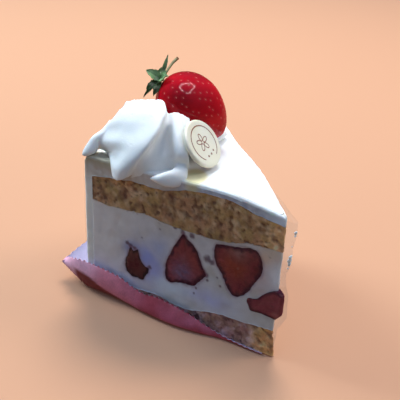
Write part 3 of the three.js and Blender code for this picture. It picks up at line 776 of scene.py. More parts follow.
def coat_shell(s, v, inset):
    """The shell's outer and inner points at distance s from the tip, over the top and down the rim."""
    bend = np.clip((s - TOP_RUN) / CORNER, 0, math.pi / 2)
    down = np.clip((s - TOP_RUN - ARC_RUN) / RIM_RUN, 0, 1)
    reach = np.where(s < TOP_RUN, s, TOP_RUN + CORNER * np.sin(bend))
    x, y = wedge_point(reach / CAKE_RADIUS, v, inset, 0.0)
    z = coat_top(x, y) - CORNER * (1 - np.cos(bend))
    outer = np.stack([x, y, z * (1 - down) + CAKE_FLOOR * down], 1)
    half = TOP_RUN + ARC_RUN / 2
    inner_down = np.clip((s - half) / (RIM_RUN + ARC_RUN / 2), 0, 1)
    inner_reach = np.minimum(s / half, 1) * INNER_RADIUS
    x, y = wedge_point(inner_reach / CAKE_RADIUS, v, inset, 0.0)
    inner = np.stack([x, y, upper_top(x, y) * (1 - inner_down) + CAKE_FLOOR * inner_down], 1)
    return outer, inner


def coat_level(depth, inset, share=None):
    """One level of the shell, at a depth below the surface or at a share of the way to its inside."""
    def at(s, v):
        outer, inner = coat_shell(s, v, inset)
        thick = np.linalg.norm(inner - outer, axis=1)
        t = np.clip(depth / thick, 0, 0.8) if share is None else np.full(len(s), share)
        p = outer * (1 - t[:, None]) + inner * t[:, None]
        smear = 0.16 * noise(p, 2.6, 401) + 0.1 * noise(p, 1.1, 402)
        sunk = smear - CUT_SINK * smoothstep(0.1, 0.9, t)
        smear = np.where(s < TOP_RUN, sunk, smear * smoothstep(1, 0.5, t))
        waves = 0.16 * noise(p, 9, 403) * (t < 0.02)
        surface = share is None and depth < SURFACE_DEPTH
        n = wall_normal(s / TOP_RUN, v) * (0 if surface else 1)
        return p + n * smear[:, None] + unit(outer - inner) * waves[:, None]
    return at


# The disc's painted shadow on the cream below it, yellow where light comes through the white chocolate:
# place, direction, half length and width
DISC_SHADOW_CENTRE = (4.8, -11.8)
DISC_SHADOW_ALONG = (0.79, -0.61)
DISC_SHADOW_HALF = (7.2, 4.6)
DISC_SHADOW_COLOUR = (0.74, 0.64, 0.34)
# Painted bluish shade on the cut strip at the tip
TIP_PAINTED_SHADE = (0.76, 0.80, 0.86)
# Painted shade on the cut strip, and painted light at its rim end: colour, the distances from the tip and the
# heights between which it comes in
CUT_STRIP_PAINTED_LIGHT_AND_SHADE = [
    ((0.47, 0.47, 0.54), (3, 14), (-1, 0)),
    ((0.66, 0.58, 0.52), (40, 55), (-1, 0)),
    # Painted shade under the swirl's overhang
    ((0.60, 0.50, 0.41), (60, 78), (52, 58)),
    # Painted light where the strip's rim end is lit
    ((1.0, 0.91, 0.80), (85, 88.5), (62, 54)),
]
# Painted shade on the coat's corner under the swirl's tail
CORNER_PAINTED_SHADE = (0.46, 0.38, 0.24)


def coat_tint(p):
    """Cream, with painted shade and painted light on the cut strip, painted shade on the corner under the
    swirl's tail, and the disc's painted shadow below it.
    """
    tint = plain(CREAM, p) * (1 + 0.02 * noise(p, 6, 410))[:, None]
    for side in (-1, 1):
        along, height, out = face_place(p, side)
        cut = smoothstep(-0.5, -0.1, out) * (1 + 0.3 * noise(p, 1.5, 411))
        # Painted shade and painted light on the cut strip
        shade = TIP_PAINTED_SHADE
        for colour, reaches, heights in CUT_STRIP_PAINTED_LIGHT_AND_SHADE:
            shade = mixed(shade, colour, smoothstep(*reaches, along) * smoothstep(*heights, height))
        tint = mixed(tint, shade, 0.9 * cut * (p[:, 2] < coat_top(p[:, 0], p[:, 1]) - 0.9))
    along, height, out = face_place(p, -1)
    # Painted shade on the corner under the swirl's tail
    painted_corner_shade = smoothstep(74, 79, along) * smoothstep(62, 65, height) * smoothstep(-9, -4, out)
    tint = mixed(tint, CORNER_PAINTED_SHADE, 0.85 * painted_corner_shade)
    # The disc's painted shadow on the cream, yellow where light comes through the white chocolate
    x, y = p[:, 0] - DISC_SHADOW_CENTRE[0], p[:, 1] - DISC_SHADOW_CENTRE[1]
    along = (DISC_SHADOW_ALONG[0] * x + DISC_SHADOW_ALONG[1] * y) / DISC_SHADOW_HALF[0]
    across = (DISC_SHADOW_ALONG[0] * y - DISC_SHADOW_ALONG[1] * x) / DISC_SHADOW_HALF[1]
    disc_shadow = smoothstep(1.25, 0.75, np.hypot(along, across)) * (p[:, 2] > 60)
    return mixed(tint, DISC_SHADOW_COLOUR, 0.9 * disc_shadow)


def coat():
    over, round_corner, down = [
        np.linspace(0, run, steps) for run, steps in ((TOP_RUN, 170), (ARC_RUN, 9), (RIM_RUN, 90))
    ]
    s = np.concatenate([over, TOP_RUN + round_corner[1:], TOP_RUN + ARC_RUN + down[1:]])
    v = np.sin(np.linspace(-1, 1, 90) * math.pi / 2)
    levels = [coat_level(depth, inset) for depth, inset in COAT_EDGE]
    levels += [coat_level(2.0, 0.0, share) for share in np.linspace(0.45, 1, 8)]
    body = slab(s, v, levels)
    return finished("coat_spread", body, ["cream_coat"], [cream_material], coat_tint(body[0]))


coat()


# Cut strawberries: an outline on a cut face, as distance from the tip and height, and a body behind it

# How far a cut face bulges in its middle, and how far its edge lies inside the cut
CUT_BULGE, CUT_INSET = 0.2, 0.05


def cut_body(side, keys, depth, seed):
    """The body, and for each point its share of the way from the middle of the face to its edge."""
    outline = smooth_outline(keys, 240)
    centre = outline.mean(0)
    away = outline - centre
    flat = np.concatenate([outline, np.zeros((len(outline), 1))], 1)
    torn = 0.3 * noise(flat, 1.3, seed + 4) + 0.2 * noise(flat, 0.7, seed + 5)
    away *= 1 + (torn / np.linalg.norm(away, axis=1))[:, None]
    angle = np.arctan2(away[:, 1], away[:, 0])
    steps = [(share, 0.0) for share in np.linspace(0.04, 1, 26)]
    steps += [(math.cos(a), depth * math.sin(a)) for a in np.linspace(0, math.pi / 2, 12)[1:-1]]
    rings, shares = [], []
    for share, back in steps:
        flat = centre + share * away
        p = on_face(side, flat[:, 0], flat[:, 1], CUT_BULGE * (1 - share**6) - CUT_INSET - back)
        if back == 0:
            fibres = noise(circling(angle, 6, 3 * share), 1.0, seed)
            p = p + OUT[side] * ((0.09 * noise(p, 1.8, seed + 1) + 0.06 * fibres) * (1 - share**6))[:, None]
        rings.append(p)
        shares.append(np.full(len(p), share if back == 0 else 1.0))
    ends = [on_face(side, *centre, CUT_BULGE - CUT_INSET), on_face(side, *centre, -CUT_INSET - depth)]
    return capped(rings, ends), np.concatenate([*shares, [0, 1]]), centre


def cut_berry(name, node, side, keys, depth, core, seed, shade=1.0, patches=()):
    """A strawberry cut by the knife: its face lies in the cut, and its body rounds off behind it.

    patches are colours on its flesh, each at a distance from the tip, a height, with a radius and a strength.
    """
    (points, faces), share, centre = cut_body(side, keys, depth, seed)
    along, height, _ = face_place(points, side)
    turn = np.arctan2(height - centre[1], along - centre[0])
    fibres = noise(circling(turn, 9, 2 * share), 1.0, seed + 2)
    tint = mixed(RED_FLESH, core, smoothstep(0.62, 0.1, share + 0.1 * fibres))
    tint = tint * (1 + 0.25 * fibres * smoothstep(0.1, 0.5, share))[:, None]
    for reach, level, radius, colour, strength in patches:
        blob = np.exp(-(np.hypot(along - reach, height - level) / radius) ** 2)
        tint = mixed(tint, colour, strength * blob * (1 + 0.5 * noise(points, 1.2, seed + 6)))
    tint = shade * mixed(tint, RED_RIM, smoothstep(0.72, 0.95, share + 0.1 * noise(points, 1.3, seed + 3)))
    return finished(name, (points, faces), [node], [cut_material], tint)


PATCHES_2 = [(43.3, 25.5, 5, (0.23, 0.12, 0.21), 0.85), (38, 33, 4, (0.33, 0.05, 0.04), 0.5)]
PATCHES_MIDDLE = [
    (19, 44, 4, (0.34, 0.14, 0.12), 0.8), (22, 36, 5, (0.36, 0.05, 0.025), 0.7),
    (10, 39, 4, (0.16, 0.008, 0.012), 0.8), (16, 28, 4, (0.17, 0.015, 0.025), 0.6),
]
cut_berry("cut_berry_front_1", "berry_front_1", -1, FRONT_1, 5, (0.24, 0.006, 0.02), 500, 0.4)
cut_berry("cut_berry_front_2", "berry_front_2", -1, FRONT_2, 8, (0.28, 0.065, 0.075), 520, 1.0, PATCHES_2)
cut_berry("cut_berry_middle", "berry_middle", -1, MIDDLE, 6, (0.33, 0.05, 0.03), 540, 1.0, PATCHES_MIDDLE)
cut_berry("cut_berry_back_1", "berry_back_1", 1, BACK_1, 7, RED_CORE, 560)
cut_berry("cut_berry_back_2", "berry_back_2", 1, BACK_2, 8, RED_CORE, 580)


# The strawberry at the tip is cut on both sides. Its outline in the plane across the tip: reach and height
TIP_OUTLINE = [
    (-2.2, 31.6), (1, 32.2), (3.7, 31.9), (5.3, 30.5), (6.9, 28.3), (8.8, 25.9), (10.8, 24.9), (12.7, 24.6),
    (13.2, 22.9), (12.3, 21.2), (11.3, 19.1), (9.6, 19), (5.9, 19.3), (2.3, 19), (0.4, 18.4), (-2, 18.4),
]
TIP_CENTRE = np.array([3.5, 25.5])
# How far its cut sides stand proud of the cut faces, and how far its nose is squeezed out of the tip
TIP_PROUD, SQUEEZED_OUT = 0.35, 3.4
# How far beyond the tip's corner its outline may reach, and how far each face bulges in its middle
TIP_LIMIT, TIP_BULGE = -2.3, 0.2
TIP_FLESH = (0.29, 0.045, 0.055)
TIP_FLESH_PALE = (0.42, 0.10, 0.09)
TIP_FLESH_DARK = (0.17, 0.03, 0.045)


def tip_place(flat, across):
    """Points of the tip's strawberry; across runs from -1 at the front face to 1 at the back one."""
    slope = math.tan(HALF_ANGLE)
    nose = TIP_RADIUS + TIP_PROUD
    x = APEX_X - np.maximum(flat[:, 0], TIP_LIMIT) * math.cos(HALF_ANGLE)
    half_width = np.maximum((APEX_X - x) * slope + TIP_PROUD / math.cos(HALF_ANGLE), 0)
    x = np.minimum(x, ROUND_X + nose)
    round_half = np.sqrt(np.maximum(nose**2 - np.maximum(x - ROUND_X, 0) ** 2, 0))
    half_width = np.minimum(half_width, round_half + np.maximum((ROUND_X - x) * slope * 1.2, 0))
    z = flat[:, 1]
    pushed = SQUEEZED_OUT * smoothstep(17, 23, z) * smoothstep(33.5, 31, z) * smoothstep(7, 0, APEX_X - x)
    return np.stack([x + pushed, half_width * across, z], 1)


def tip_berry():
    """A thick slab of strawberry round the tip, between the two cut faces."""
    outline = smooth_outline(TIP_OUTLINE, 110)
    steps = [(share, -1.0) for share in np.linspace(0.05, 1, 20)]
    steps += [(1.0, across) for across in np.linspace(-1, 1, 17)[1:-1]]
    steps += [(share, 1.0) for share in np.linspace(1, 0.05, 20)]
    rings = []
    for share, across in steps:
        p = tip_place(TIP_CENTRE + share * (outline - TIP_CENTRE), across)
        relief = 0.08 * noise(p, 1.6, 601) + TIP_BULGE * (1 - share**4)
        p[:, 1] += np.sign(across) * (abs(across) == 1) * relief
        rings.append(p)
    ends = [tip_place(TIP_CENTRE[None], side)[0] + (0, TIP_BULGE * side, 0) for side in (-1, 1)]
    points, faces = capped(rings, ends)
    share = np.concatenate([np.repeat([share for share, _ in steps], len(outline)), [0, 0]])
    flesh = mixed(TIP_FLESH, TIP_FLESH_PALE, smoothstep(0.1, 0.9, noise(points, 3.2, 602)))
    tint = mixed(flesh, RED_RIM, smoothstep(0.7, 1.0, share + 0.12 * noise(points, 2, 603)))
    tint = mixed(tint, TIP_FLESH_DARK, 0.6 * smoothstep(8, 13, APEX_X - points[:, 0]))
    return finished("cut_berry_tip", (points, faces), ["berry_tip"], [cut_material], tint)


tip_berry()


# The piped cream: overlapping folds, melted into one soft body

# The sheet that shows: rows from the crown down, each from the left end to behind the disc
SHEET = [
    [(-35.7, -18.2, 87.5), (-33.3, -15.3, 88.6), (-29.6, -12.9, 89.5), (-25.3, -10.4, 90.5),
     (-22.1, -8.7, 90.4), (-19.1, -9.6, 87.9), (-17.1, -9.7, 87.1), (-15.9, -8.6, 87.7),
     (-14.4, -7.2, 87.6), (-12, -5.5, 87), (-10, -4.1, 85.7)],
    [(-35.6, -22.2, 83.9), (-30.7, -20.9, 85.7), (-25.8, -18.9, 87), (-20.4, -15.3, 88.3),
     (-15.8, -12.3, 88.7), (-16.5, -11.2, 86.7), (-15.3, -11.3, 85.9), (-13.6, -10.7, 86.1),
     (-11.9, -9.5, 86.3), (-9.7, -7.6, 85.8), (-8.4, -5.5, 84.3)],
    [(-36.1, -25.8, 80.2), (-30.3, -25.1, 81.9), (-24.2, -23.3, 83.7), (-17.6, -19.5, 85.3),
     (-12.6, -16.8, 86.3), (-13.6, -15.1, 84.5), (-13.4, -14, 83.8), (-12.5, -12.9, 83.8),
     (-10, -12.3, 84.3), (-7.4, -10.2, 83.9), (-6.5, -7.3, 82.3)],
    [(-37.2, -28.5, 76.4), (-32.1, -27.8, 77.5), (-24.3, -27, 79.5), (-16.2, -23.8, 81.6),
     (-10.2, -20.6, 83.3), (-11.7, -18.3, 80.9), (-11.9, -16.4, 79.6), (-10.8, -14.5, 79.3),
     (-7.2, -14.7, 81.2), (-4.4, -13.3, 81.5), (-3.9, -10, 80.5)],
    [(-37.4, -31.8, 73.1), (-32.4, -30.8, 73.6), (-24.7, -30.1, 75.7), (-15.7, -27.9, 77.8),
     (-9.5, -24.3, 79.5), (-11.2, -21.9, 76.8), (-10.4, -19.3, 75.4), (-8.9, -15.9, 75.2),
     (-4, -16.4, 77.7), (-1, -15.3, 78.1), (0.4, -12.6, 77.6)],
    [(-37.5, -32.3, 70.3), (-32.4, -30.8, 70.8), (-24.8, -30.5, 72.4), (-16.1, -30.4, 74.5),
     (-10.1, -27.2, 76.1), (-11.4, -25, 73.1), (-9.3, -21.6, 71.1), (-7.1, -16.9, 72.4),
     (-2.8, -16.9, 74.2), (0.1, -15.9, 75.1), (1.9, -12.9, 74.4)],
    [(-36.9, -30.5, 67.7), (-32.9, -29.3, 68.2), (-24.7, -31.3, 69.3), (-16.3, -32.6, 71.1),
     (-11, -29.6, 72.5), (-12.8, -27.1, 69.1), (-9.9, -23.5, 66.9), (-7.3, -16.5, 67.6),
     (-4.6, -15.1, 68.8), (-2.3, -13.4, 69.7), (0.3, -11.3, 69.8)],
    [(-33.1, -29.4, 67.4), (-28.9, -30.6, 67.7), (-22.8, -33.5, 66.9), (-16.1, -34.1, 67.6),
     (-12.2, -30.9, 69), (-14.6, -27.8, 65.4), (-12.1, -24.8, 63.7), (-8.1, -16.8, 65),
     (-5.4, -14.4, 66.2), (-3.4, -12.4, 66.8), (-1.8, -10.8, 67.5)],
    [(-31.6, -28.5, 65.6), (-25, -32.1, 63.8), (-20.2, -34.5, 62.5), (-16.2, -34.3, 63),
     (-14, -31.7, 64.7), (-17, -28.3, 62.1), (-15.2, -25.1, 61.1), (-10.3, -16.1, 60.7),
     (-6.5, -13.9, 62.2), (-4.5, -12.4, 63.1), (-3.1, -10.4, 63.6)],
]
# The two edges of the tail and of the curl below the disc, from one end to the other
TAIL = [
    ((-39, -24, 79.1), (-33.2, -23.5, 77.9)),
    ((-38.1, -28.4, 75.8), (-34.2, -27.7, 75.1)),
    ((-38.6, -32.3, 73.8), (-34.9, -31.4, 73)),
    ((-39, -34.9, 71.1), (-34.5, -33.1, 70.4)),
    ((-39.2, -36.8, 68.5), (-34.6, -34.5, 68.2)),
    ((-38.8, -37.8, 66.4), (-37, -36.7, 66.1)),
]
CURL = [
    ((-6, -13.1, 70.6), (-4.1, -10.1, 71.5)),
    ((-2.8, -16.9, 70), (0.3, -12.7, 71.1)),
    ((-1.1, -19.7, 70.3), (2.7, -14.2, 69.6)),
    ((-1, -21.5, 70.5), (4.4, -16.1, 67.1)),
    ((-1.4, -23.5, 69.9), (3.1, -19.1, 64.7)),
    ((-2.4, -25.2, 68.9), (0.3, -22.4, 64.6)),
    ((-4, -26.2, 67.9), (-2.6, -24.7, 65.6)),
    ((-5.9, -26.5, 66.9), (-5.7, -26.2, 66.3)),
]
# The line inside the swirl that the sheet's back is drawn to, and how far
SHEET_CORE = [[-25, -9, 71], [-13, -10, 70]]
SHEET_DEPTH = 0.7

# The folds under and behind it: start, over, end, width, thickness, facing, where the belly is, and the
# two ends' share of the size
FOLDS = [
    ((-30, -1, 76), (-25, -10, 75), (-16, -17, 69), 21, 15, (0, 0, 1), 0.5, (0.8, 0.6)),
    ((-33.5, -15, 80), (-28, -8, 83), (-21, -3, 81), 11, 9, (0, 0, 1), 0.5, (0.6, 0.9)),
    ((-28, -8, 80), (-36, -12, 76.5), (-43, -18, 68.5), 13, 10, (-0.4, 0, 0.9), 0.35, (0.9, 0.35)),
    ((-28, -1, 78), (-36, 1, 75), (-43.5, 3, 68.5), 13, 10, (-0.4, 0, 0.9), 0.35, (0.9, 0.3)),
    ((-25, 3, 74), (-31, 11, 73), (-37, 20, 68.5), 13, 10, (-0.2, 0.2, 0.9), 0.35, (0.9, 0.3)),
    ((-20, 3, 72), (-20, 15, 71), (-21.5, 25, 68.5), 12, 8, (0, 0.2, 0.9), 0.35, (0.9, 0.3)),
    ((-18, -5, 75), (-12, -1, 72.5), (-7, 6, 69), 11, 8, (0, 0, 1), 0.35, (0.9, 0.4)),
]


# Steps of the sheet's grid down and across, of a blade along and round, and of a fold along and round
SHEET_DOWN, SHEET_ACROSS, BLADE_ALONG, BLADE_ROUND, FOLD_STEPS = 64, 90, 44, 36, 40


def sheet():
    """A body whose outside runs through the sheet's rows, and whose inside lies round its core."""
    down, across = SHEET_DOWN, SHEET_ACROSS
    rows = smooth_run(SHEET, down)
    front = smooth_run(rows.transpose(1, 0, 2), across).transpose(1, 0, 2)
    inner = front + SHEET_DEPTH * (smooth_run(SHEET_CORE, across)[None] - front)
    levels = [lambda i, j, g=g: g[i.astype(int), j.astype(int)] for g in (inner, front)]
    return slab(np.arange(float(down)), np.arange(float(across)), levels)


def blade(edges, facing, crown, thick):
    """A body between two edges, rounded by crown on the side that looks to facing, by thick on the other."""
    pairs = smooth_run(edges, BLADE_ALONG)
    middle, half = pairs.mean(1), (pairs[:, 1] - pairs[:, 0]) / 2
    wide = np.linalg.norm(half, axis=1)
    over = unit(np.cross(half, unit(np.gradient(middle, axis=0))))
    over *= np.sign((over @ np.array(facing, float)).sum())
    angle = turns(BLADE_ROUND)
    bulge = np.where(np.sin(angle) > 0, crown, thick) * np.sin(angle)
    size = np.minimum(1, wide / wide.max() * 1.6)
    rings = (middle[:, None] + half[:, None] * np.cos(angle)[:, None]
             + over[:, None] * (size[:, None] * bulge)[..., None])
    return capped(rings, [middle[0], middle[-1]])


def fold(start, over, end, width, thick, facing, belly, ends):
    """A soft body that runs over the middle point and swells to its belly."""
    start, over, end = [np.array(p, float) for p in (start, over, end)]
    t = np.linspace(0, 1, FOLD_STEPS)
    line = bent(t[:, None], start, 2 * over - (start + end) / 2, end)
    rising = ends[0] + (1 - ends[0]) * np.sin(math.pi / 2 * np.minimum(t / belly, 1))
    falling = ends[1] + (1 - ends[1]) * np.cos(math.pi / 2 * np.clip((t - belly) / (1 - belly), 0, 1))
    return sweep(line, facing, (width / 2, thick / 2), np.where(t < belly, rising, falling), FOLD_STEPS)


def melted(name, bodies, voxel, rounds):
    """The bodies' joint outside as one smoothed mesh."""
    rough = placed(name + "_rough", mesh_of(name + "_rough", *joined(bodies)))
    remesh = rough.modifiers.new("remesh", "REMESH")
    remesh.mode = "VOXEL"
    remesh.voxel_size = voxel * MM
    smooth = rough.modifiers.new("smooth", "SMOOTH")
    smooth.factor = 0.5
    smooth.iterations = rounds
    mesh = bpy.data.meshes.new_from_object(rough.evaluated_get(bpy.context.evaluated_depsgraph_get()))
    mesh.name = name
    bpy.data.objects.remove(rough)
    mesh.shade_smooth()
    return mesh


# The fineness of the melted body, how often it is smoothed, and the depth of the pits in the cream
MELT_VOXEL, MELT_ROUNDS, PIT_DEPTH = 0.5, 4, 0.12


def swirl():
    shown = [sheet(), blade(TAIL, (0, -0.4, 0.9), 1.6, 4), blade(CURL, (0.67, -0.56, 0.20), 1.6, 4.5)]
    mesh = melted("swirl_piped", shown + [fold(*f) for f in FOLDS], MELT_VOXEL, MELT_ROUNDS)
    points = vertex_values(mesh, "co") / MM
    pits = smoothstep(0.7, 0.9, noise(points, 1.6, 701)) * PIT_DEPTH
    points += vertex_values(mesh, "normal") * (0.1 * noise(points, 5, 702) - pits)[:, None]
    mesh.vertices.foreach_set("co", (points * MM).astype(np.float32).ravel())
    mesh.update()
    return finished("swirl_piped", mesh, ["cream_swirl"], [cream_material], plain(CREAM, points))


swirl()


# The strawberry on top, made standing on its stalk end and then turned

BERRY_LENGTH, BERRY_WIDTH = 34.0, 26.2
# Where it is widest, as a share of its length
BERRY_BELLY = 0.45
STALK_END = np.array([-31.0, -3.0, 94.7])
TIP_END = np.array([-13.0, 16.3, 73.3])
BERRY_AXIS = unit(TIP_END - STALK_END)
SEED_COUNT = 190
DIMPLE_DEPTH, DIMPLE_RADIUS, BERRY_UNEVEN = 0.09, 0.9, 0.05
SEED_RADIUS, SEED_HALF_LENGTH, SEED_SUNK = 0.26, 0.6, 0.16
BERRY_RED, BERRY_DARK, BERRY_DIMPLE = (0.56, 0.004, 0.012), (0.40, 0.002, 0.008), (0.62, 0.05, 0.05)
# The side of the berry that the leaves shade
SHADED_SIDE = unit([-0.4, 0.35, 0.85])


def turn_from_z(axis):
    return np.array(Vector((0, 0, 1)).rotation_difference(Vector(axis)).to_matrix())


def berry_outline(t):
    """The berry's radius as a share of its widest, at t from the stalk end to the tip."""
    rising = (1 - np.clip(1 - t / BERRY_BELLY, 0, 1) ** 2.2) ** 0.5
    falling = (1 - np.clip((t - BERRY_BELLY) / (1 - BERRY_BELLY), 0, 1) ** 1.7) ** 0.6
    return BERRY_WIDTH / 2 * np.where(t < BERRY_BELLY, rising, falling)


def berry_lump(angle, height):
    """How much the berry's radius differs from round."""
    return 1 + 0.012 * np.sin(2 * angle + 0.6) + 0.012 * np.sin(3 * angle + height / 7)


def seed_places():
    """Even places on the berry, along a spiral that wavers a little."""
    n = np.arange(SEED_COUNT)
    share = 0.05 + 0.9 * (n + 0.5) / SEED_COUNT
    turn = n * math.pi * (3 - math.sqrt(5)) + 0.25 * noise(np.stack([n, n, n], 1) * 1.7, 1.0, 801)
    radius = berry_outline(share) * berry_lump(turn, BERRY_LENGTH * share)
    return circling(turn, radius, BERRY_LENGTH * share)


def seed_body(spot, core, body, faces):
    """A seed that lies in its dimple, pointing to the berry's tip."""
    out = unit(spot - core)
    side = unit(np.cross(UP, out))
    axes = np.stack([side, out * 0.6, np.cross(out, side)], 1)
    return body @ axes.T + spot - out * SEED_SUNK, faces


def top_berry():
    t = (1 - np.cos(np.linspace(0, math.pi, 130))) / 2
    points, faces = lathe(np.stack([berry_outline(t), BERRY_LENGTH * t], 1), 180)
    points[:, :2] *= berry_lump(np.arctan2(points[:, 1], points[:, 0]), points[:, 2])[:, None]
    spots = seed_places()
    core = np.array([0, 0, BERRY_BELLY * BERRY_LENGTH])
    sink = np.zeros(len(points))
    for spot in spots:
        sink += DIMPLE_DEPTH * np.exp(-(np.linalg.norm(points - spot, axis=1) / DIMPLE_RADIUS) ** 2)
    sunk = points + unit(core - points) * (sink + BERRY_UNEVEN * noise(points, 5, 802))[:, None]
    tint = mixed(BERRY_RED, BERRY_DARK, 0.5 + 0.5 * noise(points, 6, 803))
    tint = mixed(tint, BERRY_DIMPLE, 0.3 * smoothstep(0.02, 0.08, sink))
    matrix = turn_from_z(BERRY_AXIS)
    upper = unit(points - core) @ matrix.T @ SHADED_SIDE
    tint = tint * (1 - 0.6 * smoothstep(0.55, 0.95, upper))[:, None]
    body = (sunk @ matrix.T + STALK_END, faces)
    finished("strawberry_dimpled", body, ["strawberry_top"], [skin_material], tint)
    seed = ball(SEED_RADIUS, SEED_HALF_LENGTH, 7, 8, 0.25)
    points, faces = joined([seed_body(spot, core, *seed) for spot in spots])
    body = (points @ matrix.T + STALK_END, faces)
    finished("strawberry_seeds", body, [], [seed_material])


top_berry()


# Its leafy cap

# Its leaves: end from the berry's stalk end, width, arch and how pale they are
SEPALS = [
    ((-4.6, -5.4, 4.4), 4.2, 0.7, 0.9), ((4.4, -0.8, 3.8), 4.2, 0.9, 1.0),
    ((-3.2, -5.9, -3.5), 3.6, 0.6, 0.1), ((1.6, -5.8, -4.8), 2.6, 0.6, 0.0),
    ((-2.7, -7.8, -6.4), 1.5, 1.4, 0.0), ((-3.1, 2.2, 4.9), 3.8, 0.4, 0.45),
    ((-7, 0, 2.5), 4, 0.5, 0.4), ((-4.8, 5.8, 9.3), 1.7, -0.6, 0.7),
]
LEAF_HALF, LEAF_RIB, LEAF_CUP, LEAF_WAVE = 0.16, 0.22, 0.5, 0.25
STALK = np.array([[0.3, -0.7, 0.9], [-0.7, 1.4, 2.6], [-1.5, 4, 4.7], [-2.2, 6.6, 6.6], [-2.5, 9.2, 8]])
STALK_RADIUS = 0.7
CAP_RADIUS, CAP_HALF_HEIGHT, CAP_LIFT = 2.6, 0.8, 1.2
CAP_AXIS = -BERRY_AXIS
LEAF_FACING = unit([0.55, -0.45, 0.70])
CAP_CENTRE = STALK_END + CAP_LIFT * CAP_AXIS
LEAF_DARK, LEAF_PALE = (0.03, 0.065, 0.016), (0.22, 0.37, 0.155)
STALK_GREEN, STALK_BROWN = (0.30, 0.28, 0.12), (0.26, 0.09, 0.03)


def sepal(n, end, width, arch):
    """A thin leaf with a rib and waves, from the cap's centre to its end."""
    along = STALK_END + np.array(end) - CAP_CENTRE
    across = unit(np.cross(LEAF_FACING, along))
    over = unit(np.cross(along, across))

    def face(offset):
        def at(u, v):
            share = 0.1 + 0.89 * u
            half = width / 2 * np.sin(math.pi * share) ** 0.8 * (1 + 0.06 * np.sin(26 * u + n) * np.abs(v))
            rib = LEAF_RIB * np.exp(-(v / 0.12) ** 2)
            wave = LEAF_CUP * v * v + LEAF_WAVE * np.sin(9 * u + 2 * v + n) - rib
            lift = arch * np.sin(math.pi * u) + wave + offset
            return CAP_CENTRE + along * u[:, None] + across * (half * v)[:, None] + over * lift[:, None]
        return at

    return slab(np.linspace(0, 1, 26), np.linspace(-1, 1, 15), [face(-LEAF_HALF), face(LEAF_HALF)])


def cap():
    """The leaves, the round middle that they grow from and the stalk."""
    bodies = [sepal(n, *leaf[:3]) for n, leaf in enumerate(SEPALS)]
    pale = [np.full(len(body[0]), leaf[3]) for body, leaf in zip(bodies, SEPALS)]
    middle, middle_faces = ball(CAP_RADIUS, CAP_HALF_HEIGHT, 14, 28)
    bodies.append((middle @ turn_from_z(CAP_AXIS).T + CAP_CENTRE, middle_faces))
    t = np.linspace(0, 1, 40)
    keys = np.linspace(0, 1, len(STALK))
    line = np.stack([through(list(zip(keys, STALK[:, k])))(t) for k in range(3)], 1) + STALK_END
    stalk = sweep(line, CAP_AXIS, (STALK_RADIUS, STALK_RADIUS), 1 - 0.25 * np.sin(math.pi * t), 16)
    points, faces = joined([*bodies, stalk])
    pale = np.concatenate([*pale, np.full(len(points) - sum(len(p) for p in pale), 0.4)])
    far = np.linalg.norm(points - CAP_CENTRE, axis=1)
    green = mixed(LEAF_DARK, LEAF_PALE, pale + 0.3 * noise(points, 2.2, 901))
    on_stalk = np.arange(len(points)) >= len(points) - len(stalk[0])
    tint = np.where(on_stalk[:, None], mixed(STALK_GREEN, STALK_BROWN, smoothstep(11, 12.5, far)), green)
    return finished("strawberry_leaves", (points, faces), ["strawberry_calyx"], [leaf_material], tint)


cap()


# The white chocolate disc with its plain ornament

DISC_RADIUS, DISC_THICKNESS = 10.2, 2.0
# How far its two faces stand above its rounded edge
DISC_FACE_RISE = 0.02
DISC_CENTRE = np.array([-1.6, -4.1, 77.9])
DISC_FACING = unit([0.737, 0.287, 0.612])
DISC_RIGHT = unit(np.cross(UP, DISC_FACING))
DISC_UP = np.cross(DISC_FACING, DISC_RIGHT)
DISC_WARM, DISC_PALE = (0.88, 0.80, 0.60), (0.90, 0.85, 0.72)
# The ornament, from the disc's middle: the open ring, its two ends in degrees, the flower and the dots
RING_RADIUS, RING_START, RING_END, RING_WIDTH = 7.4, -60, 235, 0.5
FLOWER_CENTRE = (-0.6, 0.5)
PETAL_MIDDLE, PETAL_HALF_LENGTH, PETAL_HALF_WIDTH, PETAL_LINE = 2.15, 1.5, 0.85, 0.42
DOTS, DOT_RADIUS, DOT_LINE = ((0.9, -5.2), (-1.4, -5.5), (3.1, -4.4)), 0.28, 0.45
LINE_HALF_HEIGHT, LINE_LIFT = 0.07, 0.03


def on_disc(a, b):
    """Points a little above the disc's front, from their place to the right and up."""
    base = DISC_CENTRE + DISC_FACING * (DISC_THICKNESS / 2 + LINE_LIFT)
    return base + a[..., None] * DISC_RIGHT + b[..., None] * DISC_UP


def disc():
    half = DISC_THICKNESS / 2
    flat = DISC_RADIUS - half
    face = half + DISC_FACE_RISE
    edge = np.linspace(-math.pi / 2, math.pi / 2, 18)
    profile = [(r, -face) for r in np.linspace(0, flat, 30)[:-1]]
    profile += [(flat + half * math.cos(a), half * math.sin(a)) for a in edge]
    profile += [(r, face) for r in np.linspace(flat, 0, 30)[1:]]
    points, faces = lathe(profile, 120)
    points[:, 2] += 0.05 * noise(points, 5, 1001)
    body = (points @ np.stack([DISC_RIGHT, DISC_UP, DISC_FACING]) + DISC_CENTRE, faces)
    tint = mixed(DISC_WARM, DISC_PALE, 0.5 + 0.5 * noise(points, 6, 1002))
    finished("disc_chocolate", body, ["white_chocolate_disc"], [chocolate_material], tint)


def arc(centre, radius, start, stop, count):
    """Points along an arc between two angles in degrees."""
    angle = np.radians(np.linspace(start, stop, count))
    return centre[0] + radius * np.cos(angle), centre[1] + radius * np.sin(angle)


